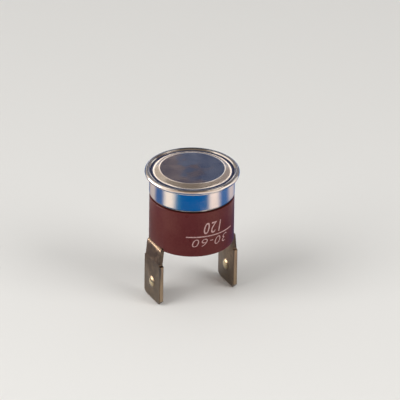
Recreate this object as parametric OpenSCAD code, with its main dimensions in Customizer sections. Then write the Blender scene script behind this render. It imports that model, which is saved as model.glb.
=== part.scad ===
// Snap-disc thermostat: a crimped steel cap on a round phenolic housing with two bent-down tabs.
// The origin lies on the plane of the tab tips, under the housing's axis. +Z points to the sensing face
// and the tabs stand at -X (fixed contact) and +X (moving contact). All lengths are millimetres.

/* [Housing] */
// Outside diameter of the moulded body
body_d = 15.4; // [14.6:0.1:20]
// Height of the body from its lower rim to the cap's skirt
body_h = 8.9; // [8.2:0.1:14]
// Height of the body's lower rim above the tab tips
rim_z = 11.1; // [10.6:0.1:15]
// Thickness of the collar's wall around the contact chamber
collar_wall = 1.05; // [0.8:0.05:1.3]
// Depth of the crimp groove under the collar
groove_depth = 0.4; // [0.3:0.05:0.5]
// Thickness of the floor between terminals and chamber
floor_t = 2.6; // [1.8:0.1:3]
// Height of the ledge that carries the contact arm above the floor
ledge_h = 2.3; // [2:0.1:3]
// Width of that ledge
ledge_w = 4.4; // [3.8:0.1:5]
// Depth of the pockets that the terminals lie in
pocket_h = 0.6; // [0.5:0.05:1]
// Depth of the shallow recess inside the lower rim
recess_h = 0.25; // [0.1:0.05:0.4]
// Width of the lower rim around that recess
rim_w = 1.2; // [0.8:0.1:1.6]
// Rounding of the body's lower edge and bevel of its upper edge
edge_r = 0.15; // [0.1:0.01:0.3]

/* [Cap] */
// Height of the cap from the skirt's lower edge to the sensing face
cap_h = 5.2; // [4.8:0.1:8]
// Thickness of the drawn sheet
sheet_t = 0.32; // [0.25:0.01:0.36]
// How far the skirt stands proud of the body
skirt_step = 0.05; // [0:0.01:0.2]
// How far the folded rim stands proud of the skirt
rim_reach = 0.85; // [0.75:0.05:2]
// Distance from the skirt's outside to the foot of the sloped shoulder
foot_in = 0.45; // [0.4:0.05:1]
// Width of the sloped shoulder seen from above
slope_w = 1.55; // [1.3:0.05:2.2]
// Radius of the bend at the sensing face's edge
shoulder_bend_r = 0.7; // [0.4:0.05:0.9]
// Share of the shoulder that its two bends take up, where 1 leaves no straight slope
bend_share = 0.87; // [0.6:0.01:0.95]
// Height of the sensing face above the channel
face_rise = 0.5; // [0.3:0.05:0.7]
// Height of the rim's crest above the channel
rim_rise = 0.26; // [0.2:0.02:0.4]
// Gap left between the two sheets of the folded rim
fold_gap = 0.06; // [0.03:0.01:0.1]
// Width of the flat lip that the curl at the skirt's lower edge ends in
lip_l = 0.06; // [0.04:0.01:0.15]

/* [Terminals] */
// Width of a tab
tab_w = 6.3; // [5.8:0.1:6.8]
// Thickness of the terminal strip
tab_t = 0.8; // [0.6:0.05:0.9]
// Length of a tab from its tip to the shoulders
tab_l = 8.0; // [6:0.1:8.3]
// How far a tab's outer face stands proud of the body
tab_out = 0.2; // [0:0.05:0.6]
// Width of the neck and of the strip under the housing
neck_w = 5.2; // [4.6:0.1:5.6]
// Outward lean of the neck in degrees
neck_lean = 5.5; // [0:0.1:12]
// Inside radius of the right-angle bend
bend_r = 0.3; // [0.2:0.05:0.5]
// Size of the chamfers at the tab's tip
tip_chamfer = 0.95; // [0.6:0.05:1.4]
// Height of the dimple's centre above the tip
dimple_z = 3.65; // [3:0.05:4.5]
// Diameter of the pressed dimple
dimple_d = 2.2; // [1.6:0.1:2.6]
// Height of the pressed dimple
dimple_h = 0.35; // [0.2:0.05:0.45]
// Distance of the punch mark's edge inside the dimple's edge
hollow_in = 0.3; // [0.2:0.05:0.5]

/* [Rivets] */
// Distance from each rivet's axis to the chamber's wall
rivet_in = 2.05; // [1.9:0.05:2.3]
// Diameter of a rivet's shank
rivet_d = 1.7; // [1.4:0.1:1.9]
// Diameter of a rivet's head
head_d = 3.2; // [2.8:0.1:3.6]
// Thickness of a rivet's head
head_t = 0.45; // [0.3:0.05:0.6]
// How far a rivet's rolled end stands proud of its shank
roll_reach = 0.3; // [0.2:0.02:0.36]

/* [Snap disc and pin] */
// Width of the guide plate's rim around the disc
disc_rim_w = 0.75; // [0.6:0.05:1]
// Depth of the seat that the disc lies in
disc_seat_h = 0.26; // [0.2:0.01:0.3]
// Width of the ledge under the disc's edge
disc_ledge_w = 0.8; // [0.5:0.05:1.2]
// Thickness of the bimetal disc
disc_t = 0.2; // [0.12:0.01:0.25]
// Height of the disc's dome above its edge
disc_dish = 0.25; // [0.2:0.01:0.28]
// Gap between the domed disc and the pin
pin_gap = 0.15; // [0.1:0.01:0.2]
// Diameter of the ceramic pin
pin_d = 1.9; // [1.5:0.1:2.2]
// Thickness of the guide plate under the disc
plate_t = 1.3; // [1:0.1:1.6]
// Length of the guide plate's hub below the plate
hub_l = 2.0; // [1.5:0.1:2.4]
// Wall of the hub around the pin
hub_wall = 1.0; // [0.7:0.1:1.4]
// Length of the spigot that centres the plate in the chamber
spigot_l = 0.5; // [0.3:0.05:0.8]

/* [Contacts] */
// Thickness of the leaf spring
leaf_t = 0.2; // [0.15:0.01:0.25]
// Width of the leaf's clamped pad
leaf_pad_w = 3.4; // [3:0.1:3.7]
// Width of the waist where the leaf bends
leaf_waist_w = 2.2; // [1.6:0.1:2.5]
// Width of the leaf under the pin
leaf_blade_w = 2.6; // [2.2:0.1:3]
// Length of the waist
leaf_waist_l = 0.8; // [0.5:0.1:1]
// How far the leaf's pad reaches past the rivet
leaf_pad_l = 1.4; // [1.2:0.05:1.45]
// Distance from the rivet to the line where the leaf leaves its ledge
flex_l = 1.55; // [1.4:0.05:1.8]
// Thickness of the plate that clamps the leaf
clamp_t = 0.3; // [0.2:0.05:0.4]
// How far the leaf's pad shows around the clamp plate
clamp_margin = 0.1; // [0.05:0.05:0.15]
// Thickness of the fixed contact's bracket
bracket_t = 0.5; // [0.4:0.05:0.55]
// Width of the bracket
bracket_w = 2.8; // [2.5:0.1:3]
// Inside radius of the bracket's bends
bracket_bend_r = 0.25; // [0.15:0.05:0.3]
// Diameter of a contact's head
contact_d = 2.2; // [1.9:0.1:2.4]
// Thickness of a contact's head
contact_t = 0.55; // [0.45:0.05:0.65]
// Diameter of a contact's shank
contact_shank_d = 1.2; // [1:0.1:1.4]
// Thickness of a contact's upset tail
contact_tail_t = 0.25; // [0.15:0.05:0.3]

/* [Clearances] */
// Radial clearance of a rivet in its holes
rivet_clear = 0.03; // [0.01:0.01:0.05]
// Radial clearance of the pin in the guide plate
pin_clear = 0.05; // [0.03:0.01:0.08]
// Gap between closed contacts and under the pin at rest
touch_gap = 0.02; // [0.01:0.01:0.04]
// Radial clearance of pieces that sit inside the cap or the chamber
fit_clear = 0.08; // [0.04:0.01:0.1]
// Room under the disc when it has snapped over
snap_clear = 0.1; // [0.05:0.01:0.15]
// Clearance of a seat along the axis
seat_clear = 0.02; // [0.01:0.01:0.03]
// Gap beside a terminal in its pocket
pocket_clear = 0.3; // [0.15:0.05:0.4]
// Gap between the leaf's free end and the bracket
end_gap = 0.15; // [0.1:0.01:0.2]

/* [Hidden] */
$fn = 96;
arc_step = 12;
over = 1;

// Radii, from the body's outside
body_r = body_d / 2;
skirt_r = body_r + skirt_step;
skirt_inner_r = skirt_r - sheet_t;
rim_r = skirt_r + rim_reach;
foot_r = skirt_r - foot_in;
face_r = foot_r - slope_w;
collar_r = skirt_inner_r - fit_clear;
chamber_r = collar_r - collar_wall;
groove_r = collar_r - groove_depth;
lip_r = groove_r + fit_clear;
curl_r = skirt_inner_r - lip_r - lip_l;
collar_bevel = curl_r - fit_clear;
disc_pocket_r = collar_r - disc_rim_w;
disc_r = disc_pocket_r - fit_clear;
spigot_r = chamber_r - fit_clear;

// Places along X
rivet_x = chamber_r - rivet_in;
contact_x = rivet_x;
flex_x = rivet_x - flex_l;
tab_x = body_r + tab_out;
tab_in_x = tab_x - tab_t;
strip_end_x = rivet_x - neck_w / 2;
bracket_out_x = sqrt(pow(spigot_r, 2) - pow(bracket_w / 2, 2));
leaf_end_x = bracket_out_x - bracket_t - end_gap;
leaf_end_r = leaf_end_x - contact_x;

// Heights of the housing, from the tab tips up
seat_z = rim_z + pocket_h;
strip_z = seat_z - tab_t;
floor_z = seat_z + floor_t;
leaf_z = floor_z + ledge_h;
skirt_z = rim_z + body_h;

// Heights of the cap, from the sensing face down
face_z = skirt_z + cap_h;
channel_z = face_z - face_rise;
channel_under_z = channel_z - sheet_t;
rim_under_z = channel_under_z - sheet_t - fold_gap;
lip_top_z = skirt_z + sheet_t;

// The collar that the curled lip holds, and the plate that stands on it
shoulder_z = skirt_z - fit_clear;
collar_z = lip_top_z + seat_clear;
plate_rim_z = channel_under_z - seat_clear;
disc_seat_z = plate_rim_z - disc_seat_h;
plate_floor_z = disc_seat_z - 2 * disc_dish - snap_clear;
housing_top_z = plate_floor_z - plate_t;
plate_under_z = housing_top_z + seat_clear;

// The pin, from the leaf to just under the domed disc
pin_low_z = leaf_z + leaf_t + touch_gap;
pin_top_z = disc_seat_z + disc_dish - pin_gap;

// The contacts: the moving one stands on the leaf and closes against the fixed one above it
moving_face_z = leaf_z + leaf_t + contact_t;
fixed_face_z = moving_face_z + touch_gap;
bracket_top_z = fixed_face_z + contact_t + bracket_t;

// Points along an arc, from angle a0 to angle a1, with a step of at most arc_step degrees
function arc(x, y, r, a0, a1) =
    let (steps = max(2, ceil(abs(a1 - a0) / arc_step)))
    [for (i = [0 : steps]) let (a = a0 + (a1 - a0) * i / steps) [x + r * cos(a), y + r * sin(a)]];

// One side of a bent sheet. Each bend is [centre x, centre y, middle radius, first angle, last angle],
// in the order of travel, and side is 1 on the left of the travel and -1 on its right.
function bend_side(bends, t, side) =
    [for (b = bends) each arc(b[0], b[1], b[2] - side * sign(b[4] - b[3]) * t / 2, b[3], b[4])];

function backwards(list) = [for (i = [len(list) - 1 : -1 : 0]) list[i]];

// Outline of a bent sheet between a first and a last edge, each edge given as points from left to right
function sheet_outline(first_edge, bends, last_edge, t) =
    concat(bend_side(bends, t, 1), last_edge, backwards(bend_side(bends, t, -1)), backwards(first_edge));

// Angle at which a straight slope leaves two round bends that turn opposite ways
function slope_angle(run, rise, radii) =
    atan2(radii, sqrt(pow(run, 2) + pow(radii - rise, 2) - pow(radii, 2))) - atan2(radii - rise, run);

// Section of the cap: sensing face, sloped shoulder, channel, folded rim, skirt and curled lip
foot_bend_r = bend_share * (pow(slope_w, 2) + pow(face_rise, 2)) / (2 * face_rise) - shoulder_bend_r;
rise_bend_r = 0.25;
corner_r = 0.15;
rise_angle = 45;
face_angle = slope_angle(slope_w, face_rise, shoulder_bend_r + foot_bend_r);
bead_r = (channel_z + rim_rise - rim_under_z) / 2;
bead_x = rim_r - bead_r;
bead_z = rim_under_z + bead_r;
bead_mid_r = bead_r - sheet_t / 2;
rise_radii = rise_bend_r + bead_mid_r;
rise_drop = channel_z - sheet_t / 2 + rise_bend_r - bead_z;
rise_l = (rise_radii * cos(rise_angle) - rise_drop) / sin(rise_angle);
rise_run = rise_l * cos(rise_angle) + rise_radii * sin(rise_angle);
cap_bends = [
    [face_r, face_z - sheet_t / 2 - shoulder_bend_r, shoulder_bend_r, 90, 90 - face_angle],
    [foot_r, channel_z - sheet_t / 2 + foot_bend_r, foot_bend_r, 270 - face_angle, 270],
    [bead_x - rise_run, channel_z - sheet_t / 2 + rise_bend_r, rise_bend_r, 270, 270 + rise_angle],
    [bead_x, bead_z, bead_mid_r, 90 + rise_angle, -90],
    [skirt_r + corner_r, rim_under_z - corner_r, corner_r + sheet_t / 2, 90, 180],
    [skirt_inner_r - curl_r, lip_top_z + curl_r, curl_r + sheet_t / 2, 0, -90]
];

module cap() {
    color("silver")
        rotate_extrude()
            polygon(sheet_outline(
                [[0, face_z], [0, face_z - sheet_t]],
                cap_bends,
                [[lip_r, skirt_z], [lip_r, lip_top_z]],
                sheet_t));
}

// Housing's outside: body with a rounded lower edge, crimp groove and collar
module housing_blank() {
    rotate_extrude()
        polygon(concat(
            [[0, rim_z]],
            arc(body_r - edge_r, rim_z + edge_r, edge_r, -90, 0),
            [[body_r, shoulder_z - edge_r], [body_r - edge_r, shoulder_z]],
            [[groove_r, shoulder_z], [groove_r, collar_z], [collar_r - collar_bevel, collar_z]],
            [[collar_r, collar_z + collar_bevel], [collar_r, housing_top_z], [0, housing_top_z]]));
}

// Pocket in the underside that a terminal's strip lies in, open through the lower rim
module terminal_pocket() {
    half = neck_w / 2 + pocket_clear;
    translate([0, 0, rim_z - over])
        linear_extrude(pocket_h + over)
            union() {
                translate([rivet_x, 0]) circle(half);
                translate([rivet_x, -half]) square([body_d, 2 * half]);
            }
}

// Ledge across one side of the chamber, which the contact arm is riveted to
module arm_ledge() {
    intersection() {
        translate([0, 0, floor_z - over]) cylinder(r = chamber_r + over / 10, h = ledge_h + over);
        translate([flex_x, -ledge_w / 2, floor_z - over]) cube([body_d, ledge_w, ledge_h + over]);
    }
}

// Low ribs on the chamber floor that keep the bracket from turning
module bracket_ribs() {
    rib_w = 0.5;
    rib_h = 0.6;
    rib_l = 3;
    for (side = [-1, 1])
        translate([-rivet_x - rib_l / 2, side * (bracket_w / 2 + fit_clear + rib_w / 2) - rib_w / 2, floor_z - over])
            cube([rib_l, rib_w, rib_h + over]);
}

module rivet_bore(x) {
    translate([x, 0, 0]) cylinder(d = rivet_d + 2 * rivet_clear, h = face_z);
}

module housing() {
    color([0.36, 0.17, 0.16])
        difference() {
            union() {
                difference() {
                    housing_blank();
                    translate([0, 0, floor_z]) cylinder(r = chamber_r, h = body_h + over);
                    translate([0, 0, rim_z - over]) cylinder(r = body_r - rim_w, h = recess_h + over);
                }
                arm_ledge();
                bracket_ribs();
            }
            terminal_pocket();
            mirror([1, 0, 0]) terminal_pocket();
            rivet_bore(rivet_x);
            rivet_bore(-rivet_x);
        }
}

// Side view of a terminal: strip, right-angle bend, leaning neck, straight tab with a bevelled tip
knee_r = 3;
knee_rise = 0.1;
knee_z = tab_l + knee_rise;
tip_bevel_w = 0.2;
tip_bevel_h = 0.5;
bend_mid_r = bend_r + tab_t / 2;
knee_x = tab_x - tab_t / 2 - knee_r;
bend_z = seat_z - tab_t / 2 - bend_mid_r;
lean_l = (bend_z + bend_mid_r * sin(neck_lean) - knee_z - knee_r * sin(neck_lean)) / cos(neck_lean);
bend_x = knee_x + (knee_r - bend_mid_r) * cos(neck_lean) - lean_l * sin(neck_lean);
terminal_bends = [
    [bend_x, bend_z, bend_mid_r, 90, neck_lean],
    [knee_x, knee_z, knee_r, neck_lean, 0]
];

module terminal_side() {
    translate([0, tab_w / 2, 0])
        rotate([90, 0, 0])
            linear_extrude(tab_w)
                polygon(sheet_outline(
                    [[strip_end_x, seat_z], [strip_end_x, strip_z]],
                    terminal_bends,
                    [[tab_x, tip_bevel_h], [tab_x - tip_bevel_w, 0],
                        [tab_in_x + tip_bevel_w, 0], [tab_in_x, tip_bevel_h]],
                    tab_t));
}

// Front view of one half of a terminal: chamfered tip, tab, rounded shoulder, fillet and neck
shoulder_r = 0.15;
fillet_r = 0.3;
function half_front() = concat(
    [[0, 0], [tab_w / 2 - tip_chamfer, 0], [tab_w / 2, tip_chamfer]],
    arc(tab_w / 2 - shoulder_r, tab_l - shoulder_r, shoulder_r, 0, 90),
    backwards(arc(neck_w / 2 + fillet_r, tab_l + fillet_r, fillet_r, 180, 270)),
    [[neck_w / 2, seat_z + over], [0, seat_z + over]]);

module terminal_front() {
    translate([rivet_x, 0, 0])
        rotate([90, 0, 90])
            linear_extrude(tab_x)
                union() {
                    polygon(half_front());
                    mirror([1, 0]) polygon(half_front());
                }
    translate([rivet_x, 0, strip_z - over]) cylinder(d = neck_w, h = tab_t + 2 * over);
}

// Long bevels on the four edges of a tab
module tab_bevels() {
    bevel_y = 0.2;
    bevel_x = 0.14;
    for (side = [-1, 1], face = [0, 1])
        translate([face ? tab_x : tab_in_x, side * tab_w / 2, -over])
            linear_extrude(tab_l + over)
                polygon([[0, -side * bevel_y], [(face ? -1 : 1) * bevel_x, 0],
                    [(face ? -1 : 1) * bevel_x, side * bevel_x], [face ? over : -over, side * bevel_x],
                    [face ? over : -over, -side * bevel_y]]);
}

// A shallow ball segment that bulges from the plane x = 0 to +X, with a short root behind the plane
module ball_segment(d, h) {
    root_l = 0.1;
    ball_r = (pow(d / 2, 2) + pow(h, 2)) / (2 * h);
    half_angle = asin(d / 2 / ball_r);
    rotate([0, 90, 0])
        rotate_extrude()
            polygon(concat([[0, -root_l], [d / 2, -root_l]], arc(0, h - ball_r, ball_r, 90 - half_angle, 90)));
}

// A terminal at +X. bulge is 1 for a dimple that stands out on the outer face, -1 for the inner face.
module terminal(bulge) {
    bulge_x = bulge > 0 ? tab_x : tab_in_x;
    hollow_x = bulge > 0 ? tab_in_x : tab_x;
    hollow_d = dimple_d - 2 * hollow_in;
    turn = bulge > 0 ? 0 : 180;
    difference() {
        union() {
            intersection() {
                terminal_side();
                terminal_front();
            }
            translate([bulge_x, 0, dimple_z]) rotate([0, 0, turn]) ball_segment(dimple_d, dimple_h);
        }
        tab_bevels();
        translate([hollow_x, 0, dimple_z]) rotate([0, 0, turn]) ball_segment(hollow_d, dimple_h);
        rivet_bore(rivet_x);
    }
}

module fixed_terminal() {
    color([0.42, 0.38, 0.34]) mirror([1, 0, 0]) terminal(1);
}

module moving_terminal() {
    color([0.42, 0.38, 0.34]) terminal(-1);
}

// Disc of bimetal, domed towards the sensing face while it is cold
module bimetal_disc() {
    dome_r = (pow(disc_r, 2) + pow(disc_dish, 2)) / (2 * disc_dish);
    half_angle = asin(disc_r / dome_r);
    centre_z = disc_seat_z + disc_dish - dome_r;
    color([0.62, 0.6, 0.56])
        rotate_extrude()
            polygon(concat(
                arc(0, centre_z, dome_r + disc_t, 90 - half_angle, 90),
                arc(0, centre_z, dome_r, 90, 90 - half_angle)));
}

// Guide plate: rim that centres the disc, ledge under the disc's edge, spigot and bored hub
module guide_plate() {
    ledge_in_r = disc_pocket_r - disc_ledge_w;
    ledge_slope = 0.4;
    spigot_wall = 1;
    hub_r = pin_d / 2 + hub_wall;
    hub_draft = 0.3;
    color([0.3, 0.22, 0.2])
        difference() {
            rotate_extrude()
                polygon([[0, plate_floor_z], [ledge_in_r - ledge_slope, plate_floor_z],
                    [ledge_in_r, disc_seat_z], [disc_pocket_r, disc_seat_z],
                    [disc_pocket_r, plate_rim_z], [collar_r, plate_rim_z],
                    [collar_r, plate_under_z], [spigot_r, plate_under_z],
                    [spigot_r, housing_top_z - spigot_l], [spigot_r - spigot_wall, housing_top_z - spigot_l],
                    [spigot_r - spigot_wall, plate_under_z], [hub_r + hub_draft, plate_under_z],
                    [hub_r, housing_top_z - hub_l], [0, housing_top_z - hub_l]]);
            cylinder(r = pin_d / 2 + pin_clear, h = face_z);
        }
}

module transfer_pin() {
    end_r = 0.3;
    color("ivory")
        rotate_extrude()
            polygon(concat(
                [[0, pin_low_z]],
                arc(pin_d / 2 - end_r, pin_low_z + end_r, end_r, -90, 0),
                arc(pin_d / 2 - end_r, pin_top_z - end_r, end_r, 0, 90),
                [[0, pin_top_z]]));
}

// Upper half of the leaf's outline: clamped pad, waist, blade and the start of the round contact end
function half_leaf() = [
    [rivet_x + leaf_pad_l, leaf_pad_w / 2],
    [flex_x + clamp_margin, leaf_pad_w / 2],
    [flex_x - leaf_waist_l / 2, leaf_waist_w / 2],
    [flex_x - 3 * leaf_waist_l / 2, leaf_waist_w / 2],
    [pin_d / 4, leaf_blade_w / 2],
    [-pin_d / 4, leaf_blade_w / 2],
    [-contact_x, leaf_end_r]
];

module contact_arm() {
    color([0.72, 0.5, 0.3])
        difference() {
            translate([0, 0, leaf_z + seat_clear / 2])
                linear_extrude(leaf_t - seat_clear / 2)
                    union() {
                        polygon(concat(half_leaf(), backwards([for (p = half_leaf()) [p[0], -p[1]]])));
                        translate([-contact_x, 0]) circle(leaf_end_r);
                    }
            rivet_bore(rivet_x);
            translate([-contact_x, 0, 0]) cylinder(d = contact_shank_d + 2 * rivet_clear, h = face_z);
        }
}

// Contact rivet: its working face lies at z = 0 and it is pressed through a sheet above that.
// crown is how far the face's edge falls back from its middle.
module contact_rivet(through_t, crown) {
    face_bevel = 0.2;
    tail_r = contact_shank_d / 2 + face_bevel;
    tail_bevel = 0.1;
    tail_z = contact_t + through_t;
    rotate_extrude()
        polygon([[0, 0], [contact_d / 2 - face_bevel, crown], [contact_d / 2, crown + face_bevel],
            [contact_d / 2, contact_t], [contact_shank_d / 2, contact_t], [contact_shank_d / 2, tail_z],
            [tail_r, tail_z], [tail_r - tail_bevel, tail_z + contact_tail_t], [0, tail_z + contact_tail_t]]);
}

module moving_contact() {
    color("gainsboro")
        translate([-contact_x, 0, moving_face_z])
            mirror([0, 0, 1]) contact_rivet(leaf_t, 0.08);
}

module fixed_contact() {
    color("gainsboro") translate([-contact_x, 0, fixed_face_z]) contact_rivet(bracket_t, 0);
}

// Bracket: foot on the chamber floor, riser at the wall and an arm folded back over the contact
module contact_bracket() {
    foot_margin = 0.25;
    mid_r = bracket_bend_r + bracket_t / 2;
    turn_x = bracket_out_x - bracket_t / 2 - mid_r;
    low_z = floor_z + bracket_t / 2 + mid_r;
    high_z = bracket_top_z - bracket_t / 2 - mid_r;
    foot_end_x = rivet_x - rivet_d / 2 - roll_reach - foot_margin;
    top_end_x = contact_x - contact_d / 2 - foot_margin;
    color("goldenrod")
        mirror([1, 0, 0])
            difference() {
                translate([0, bracket_w / 2, 0])
                    rotate([90, 0, 0])
                        linear_extrude(bracket_w)
                            polygon(sheet_outline(
                                [[foot_end_x, floor_z + bracket_t], [foot_end_x, floor_z]],
                                [[turn_x, low_z, mid_r, -90, 0], [turn_x, high_z, mid_r, 0, 90]],
                                [[top_end_x, bracket_top_z - bracket_t], [top_end_x, bracket_top_z]],
                                bracket_t));
                translate([rivet_x, 0, 0]) cylinder(d = rivet_d + 2 * rivet_clear, h = leaf_z);
                translate([contact_x, 0, leaf_z]) cylinder(d = contact_shank_d + 2 * rivet_clear, h = body_h);
            }
}

module clamp_plate() {
    plate_w = leaf_pad_w - 2 * clamp_margin;
    plate_l = flex_l + leaf_pad_l - clamp_margin;
    color("goldenrod")
        difference() {
            translate([flex_x, -plate_w / 2, leaf_z + leaf_t]) cube([plate_l, plate_w, clamp_t]);
            rivet_bore(rivet_x);
        }
}

// Semi-tubular rivet: round head under the terminal, end rolled over at top_z
module rivet(x, top_z) {
    rivet_r = rivet_d / 2;
    wall = 0.35;
    roll_t = 0.3;
    hollow_l = 1.2;
    drill_tip = 0.3;
    head_edge = 0.2;
    head_z = strip_z - head_t;
    color("goldenrod")
        translate([x, 0, 0])
            rotate_extrude()
                polygon(concat(
                    [[0, head_z]],
                    arc(head_d / 2 - head_edge, head_z + head_edge, head_edge, -90, 0),
                    [[head_d / 2, strip_z], [rivet_r, strip_z], [rivet_r, top_z]],
                    arc(rivet_r + roll_reach - roll_t / 2, top_z + roll_t / 2, roll_t / 2, -90, 90),
                    [[rivet_r - wall / 2, top_z + roll_t], [rivet_r - wall, top_z]],
                    [[rivet_r - wall, top_z - hollow_l], [0, top_z - hollow_l - drill_tip]]));
}

module fixed_rivet() {
    rivet(-rivet_x, floor_z + bracket_t);
}

module moving_rivet() {
    rivet(rivet_x, leaf_z + leaf_t + clamp_t);
}

cap();
housing();
fixed_terminal();
moving_terminal();
bimetal_disc();
guide_plate();
transfer_pin();
contact_arm();
moving_contact();
contact_bracket();
fixed_contact();
clamp_plate();
fixed_rivet();
moving_rivet();
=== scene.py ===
"""The look of a snap-disc thermostat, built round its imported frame: cap, housing, print, terminals, rivets,
contact arm and transfer pin are modelled here, the other pieces inside keep their frame shapes, and every
surface gets its finish."""

import math

import bpy
from mathutils import Matrix, Vector


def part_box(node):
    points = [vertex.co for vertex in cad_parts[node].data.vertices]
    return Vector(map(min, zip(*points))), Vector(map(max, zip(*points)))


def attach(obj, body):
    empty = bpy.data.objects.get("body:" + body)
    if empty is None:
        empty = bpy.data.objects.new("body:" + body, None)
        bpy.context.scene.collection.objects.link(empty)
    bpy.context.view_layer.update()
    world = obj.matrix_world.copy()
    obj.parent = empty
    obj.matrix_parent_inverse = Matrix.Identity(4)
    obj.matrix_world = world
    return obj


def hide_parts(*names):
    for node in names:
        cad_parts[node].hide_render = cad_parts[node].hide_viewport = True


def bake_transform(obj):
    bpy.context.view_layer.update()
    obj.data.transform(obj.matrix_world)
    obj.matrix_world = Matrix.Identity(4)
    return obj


bl_info = {
    "name": "Snap Disc Thermostat",
    "version": (1, 0, 0),
    "blender": (4, 5, 0),
    "location": "3D View > Sidebar > Thermostat",
    "description": "Models and finishes a snap-disc thermostat round its packed frame",
    "category": "Object",
}

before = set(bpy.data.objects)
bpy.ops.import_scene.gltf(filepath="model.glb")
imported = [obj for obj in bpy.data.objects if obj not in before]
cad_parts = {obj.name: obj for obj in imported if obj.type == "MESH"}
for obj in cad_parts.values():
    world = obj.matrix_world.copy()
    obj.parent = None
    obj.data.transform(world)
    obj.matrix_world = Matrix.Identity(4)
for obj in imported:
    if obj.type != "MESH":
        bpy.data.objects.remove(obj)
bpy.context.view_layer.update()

MM = 0.001
# Vertices closer than this are one
MERGE = 0.001 * MM
# Too little to see: it tells places apart and keeps a tool's face off the face that it meets
HAIR = 0.01 * MM
# How far a tool or an added form reaches past the face that it meets
OVERLAP = MM
# Length of a tool that cuts right through
THROUGH = 20 * MM
CASE, PIN, ARM = "case", "pin", "arm"

# Places that the frame already fixes
cap_low, cap_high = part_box("cap")
housing_low, housing_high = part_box("housing")
tab_low, tab_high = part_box("moving_terminal")
fixed_rivet_low, fixed_rivet_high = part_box("fixed_rivet")
moving_rivet_low, moving_rivet_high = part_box("moving_rivet")
clamp_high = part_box("clamp_plate")[1]
bracket_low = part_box("contact_bracket")[0]
chamber_floor = bracket_low.z
pin_low, pin_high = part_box("transfer_pin")
arm_low, arm_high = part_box("contact_arm")


def length(name, description, default):
    """A size in metres that a user would change."""
    return bpy.props.FloatProperty(
        name=name, description=description, default=default, min=0,
        unit="LENGTH", subtype="DISTANCE", precision=5,
    )


def degrees(name, description, default):
    """An angle that a user would change."""
    return bpy.props.FloatProperty(
        name=name, description=description, default=math.radians(default),
        unit="ROTATION", subtype="ANGLE",
    )


def amount(name, description, default, unit="NONE"):
    """A power, a strength or a share that a user would change."""
    return bpy.props.FloatProperty(
        name=name, description=description, default=default, min=0, unit=unit,
    )


def linear(hex_colour):
    """The linear colour of an sRGB hex value, with full opacity."""
    parts = [int(hex_colour[i : i + 2], 16) / 255 for i in (1, 3, 5)]
    return tuple(p / 12.92 if p <= 0.04045 else ((p + 0.055) / 1.055) ** 2.4 for p in parts) + (1.0,)


def colour(name, description, hex_colour):
    """A colour that a user would change."""
    return bpy.props.FloatVectorProperty(
        name=name, description=description, default=linear(hex_colour),
        size=4, min=0, max=1, subtype="COLOR",
    )


class CapSizes(bpy.types.PropertyGroup):
    """Sizes of the drawn cap"""

    sheet: length("Sheet", "Thickness of the drawn sheet", 0.32 * MM)
    skirt_radius: length("Skirt radius", "Outside radius of the skirt", 7.75 * MM)
    foot_radius: length("Foot radius", "Radius at the foot of the sloped shoulder", 7.3 * MM)
    face_radius: length("Face radius", "Radius of the flat sensing face", 5.75 * MM)
    shoulder_bend: length("Shoulder bend", "Radius of the bend at the face's edge", 0.7 * MM)
    foot_bend: length("Foot bend", "Radius of the bend at the shoulder's foot", 1.6077 * MM)
    rise_bend: length("Rise bend", "Radius of the bend where the channel turns up to the rim", 0.25 * MM)
    corner_bend: length("Corner bend", "Radius of the bend between rim and skirt", 0.15 * MM)
    face_rise: length("Face rise", "Height of the sensing face above the channel", 0.5 * MM)
    rim_rise: length("Rim rise", "Height of the rim's crest above the channel", 0.26 * MM)
    fold_gap: length("Fold gap", "Gap between the two sheets of the folded rim", 0.06 * MM)
    curl: length("Curl", "Inside radius of the curled lower lip", 0.34 * MM)
    lip_radius: length("Lip radius", "Inside radius of the curled lip", 7.03 * MM)


class HousingSizes(bpy.types.PropertyGroup):
    """Sizes of the moulded housing"""

    lip_gap: length("Lip gap", "Gap between the body's shoulder and the cap's lip", 0.08 * MM)
    groove_height: length("Groove height", "Height of the crimp groove's top above the cap's lip", 0.34 * MM)
    groove_radius: length("Groove radius", "Radius at the bottom of the crimp groove", 6.95 * MM)
    collar_radius: length("Collar radius", "Outside radius of the collar inside the cap", 7.35 * MM)
    collar_bevel: length("Collar bevel", "Bevel of the collar inside the cap's curl", 0.26 * MM)
    chamber_radius: length("Chamber radius", "Radius of the contact chamber", 6.3 * MM)
    ledge_width: length("Ledge width", "Width of the ledge under the contact arm", 4.4 * MM)
    ledge_drop: length("Ledge drop", "Height from the ledge to the top of the clamp plate", 0.5 * MM)
    rib_place: length("Rib place", "Distance of the ribs beside the bracket from the middle", 1.48 * MM)
    rib_width: length("Rib width", "Thickness of the ribs beside the bracket", 0.5 * MM)
    rib_length: length("Rib length", "Length of the ribs beside the bracket", 3.0 * MM)
    rib_height: length("Rib height", "Height of the ribs above the chamber's floor", 0.6 * MM)
    rim_width: length("Rim width", "Width of the lower rim", 1.2 * MM)
    recess: length("Recess", "Depth of the recess inside the lower rim", 0.25 * MM)
    pocket: length("Pocket", "Depth of the pockets for the terminals", 0.6 * MM)
    pocket_width: length("Pocket width", "Width of the pockets for the terminals", 5.8 * MM)
    edge: length("Edge", "Rounding of the moulded edges", 0.15 * MM)
    small_edge: length("Small edge", "Rounding of the pockets' edges", 0.05 * MM)


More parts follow.
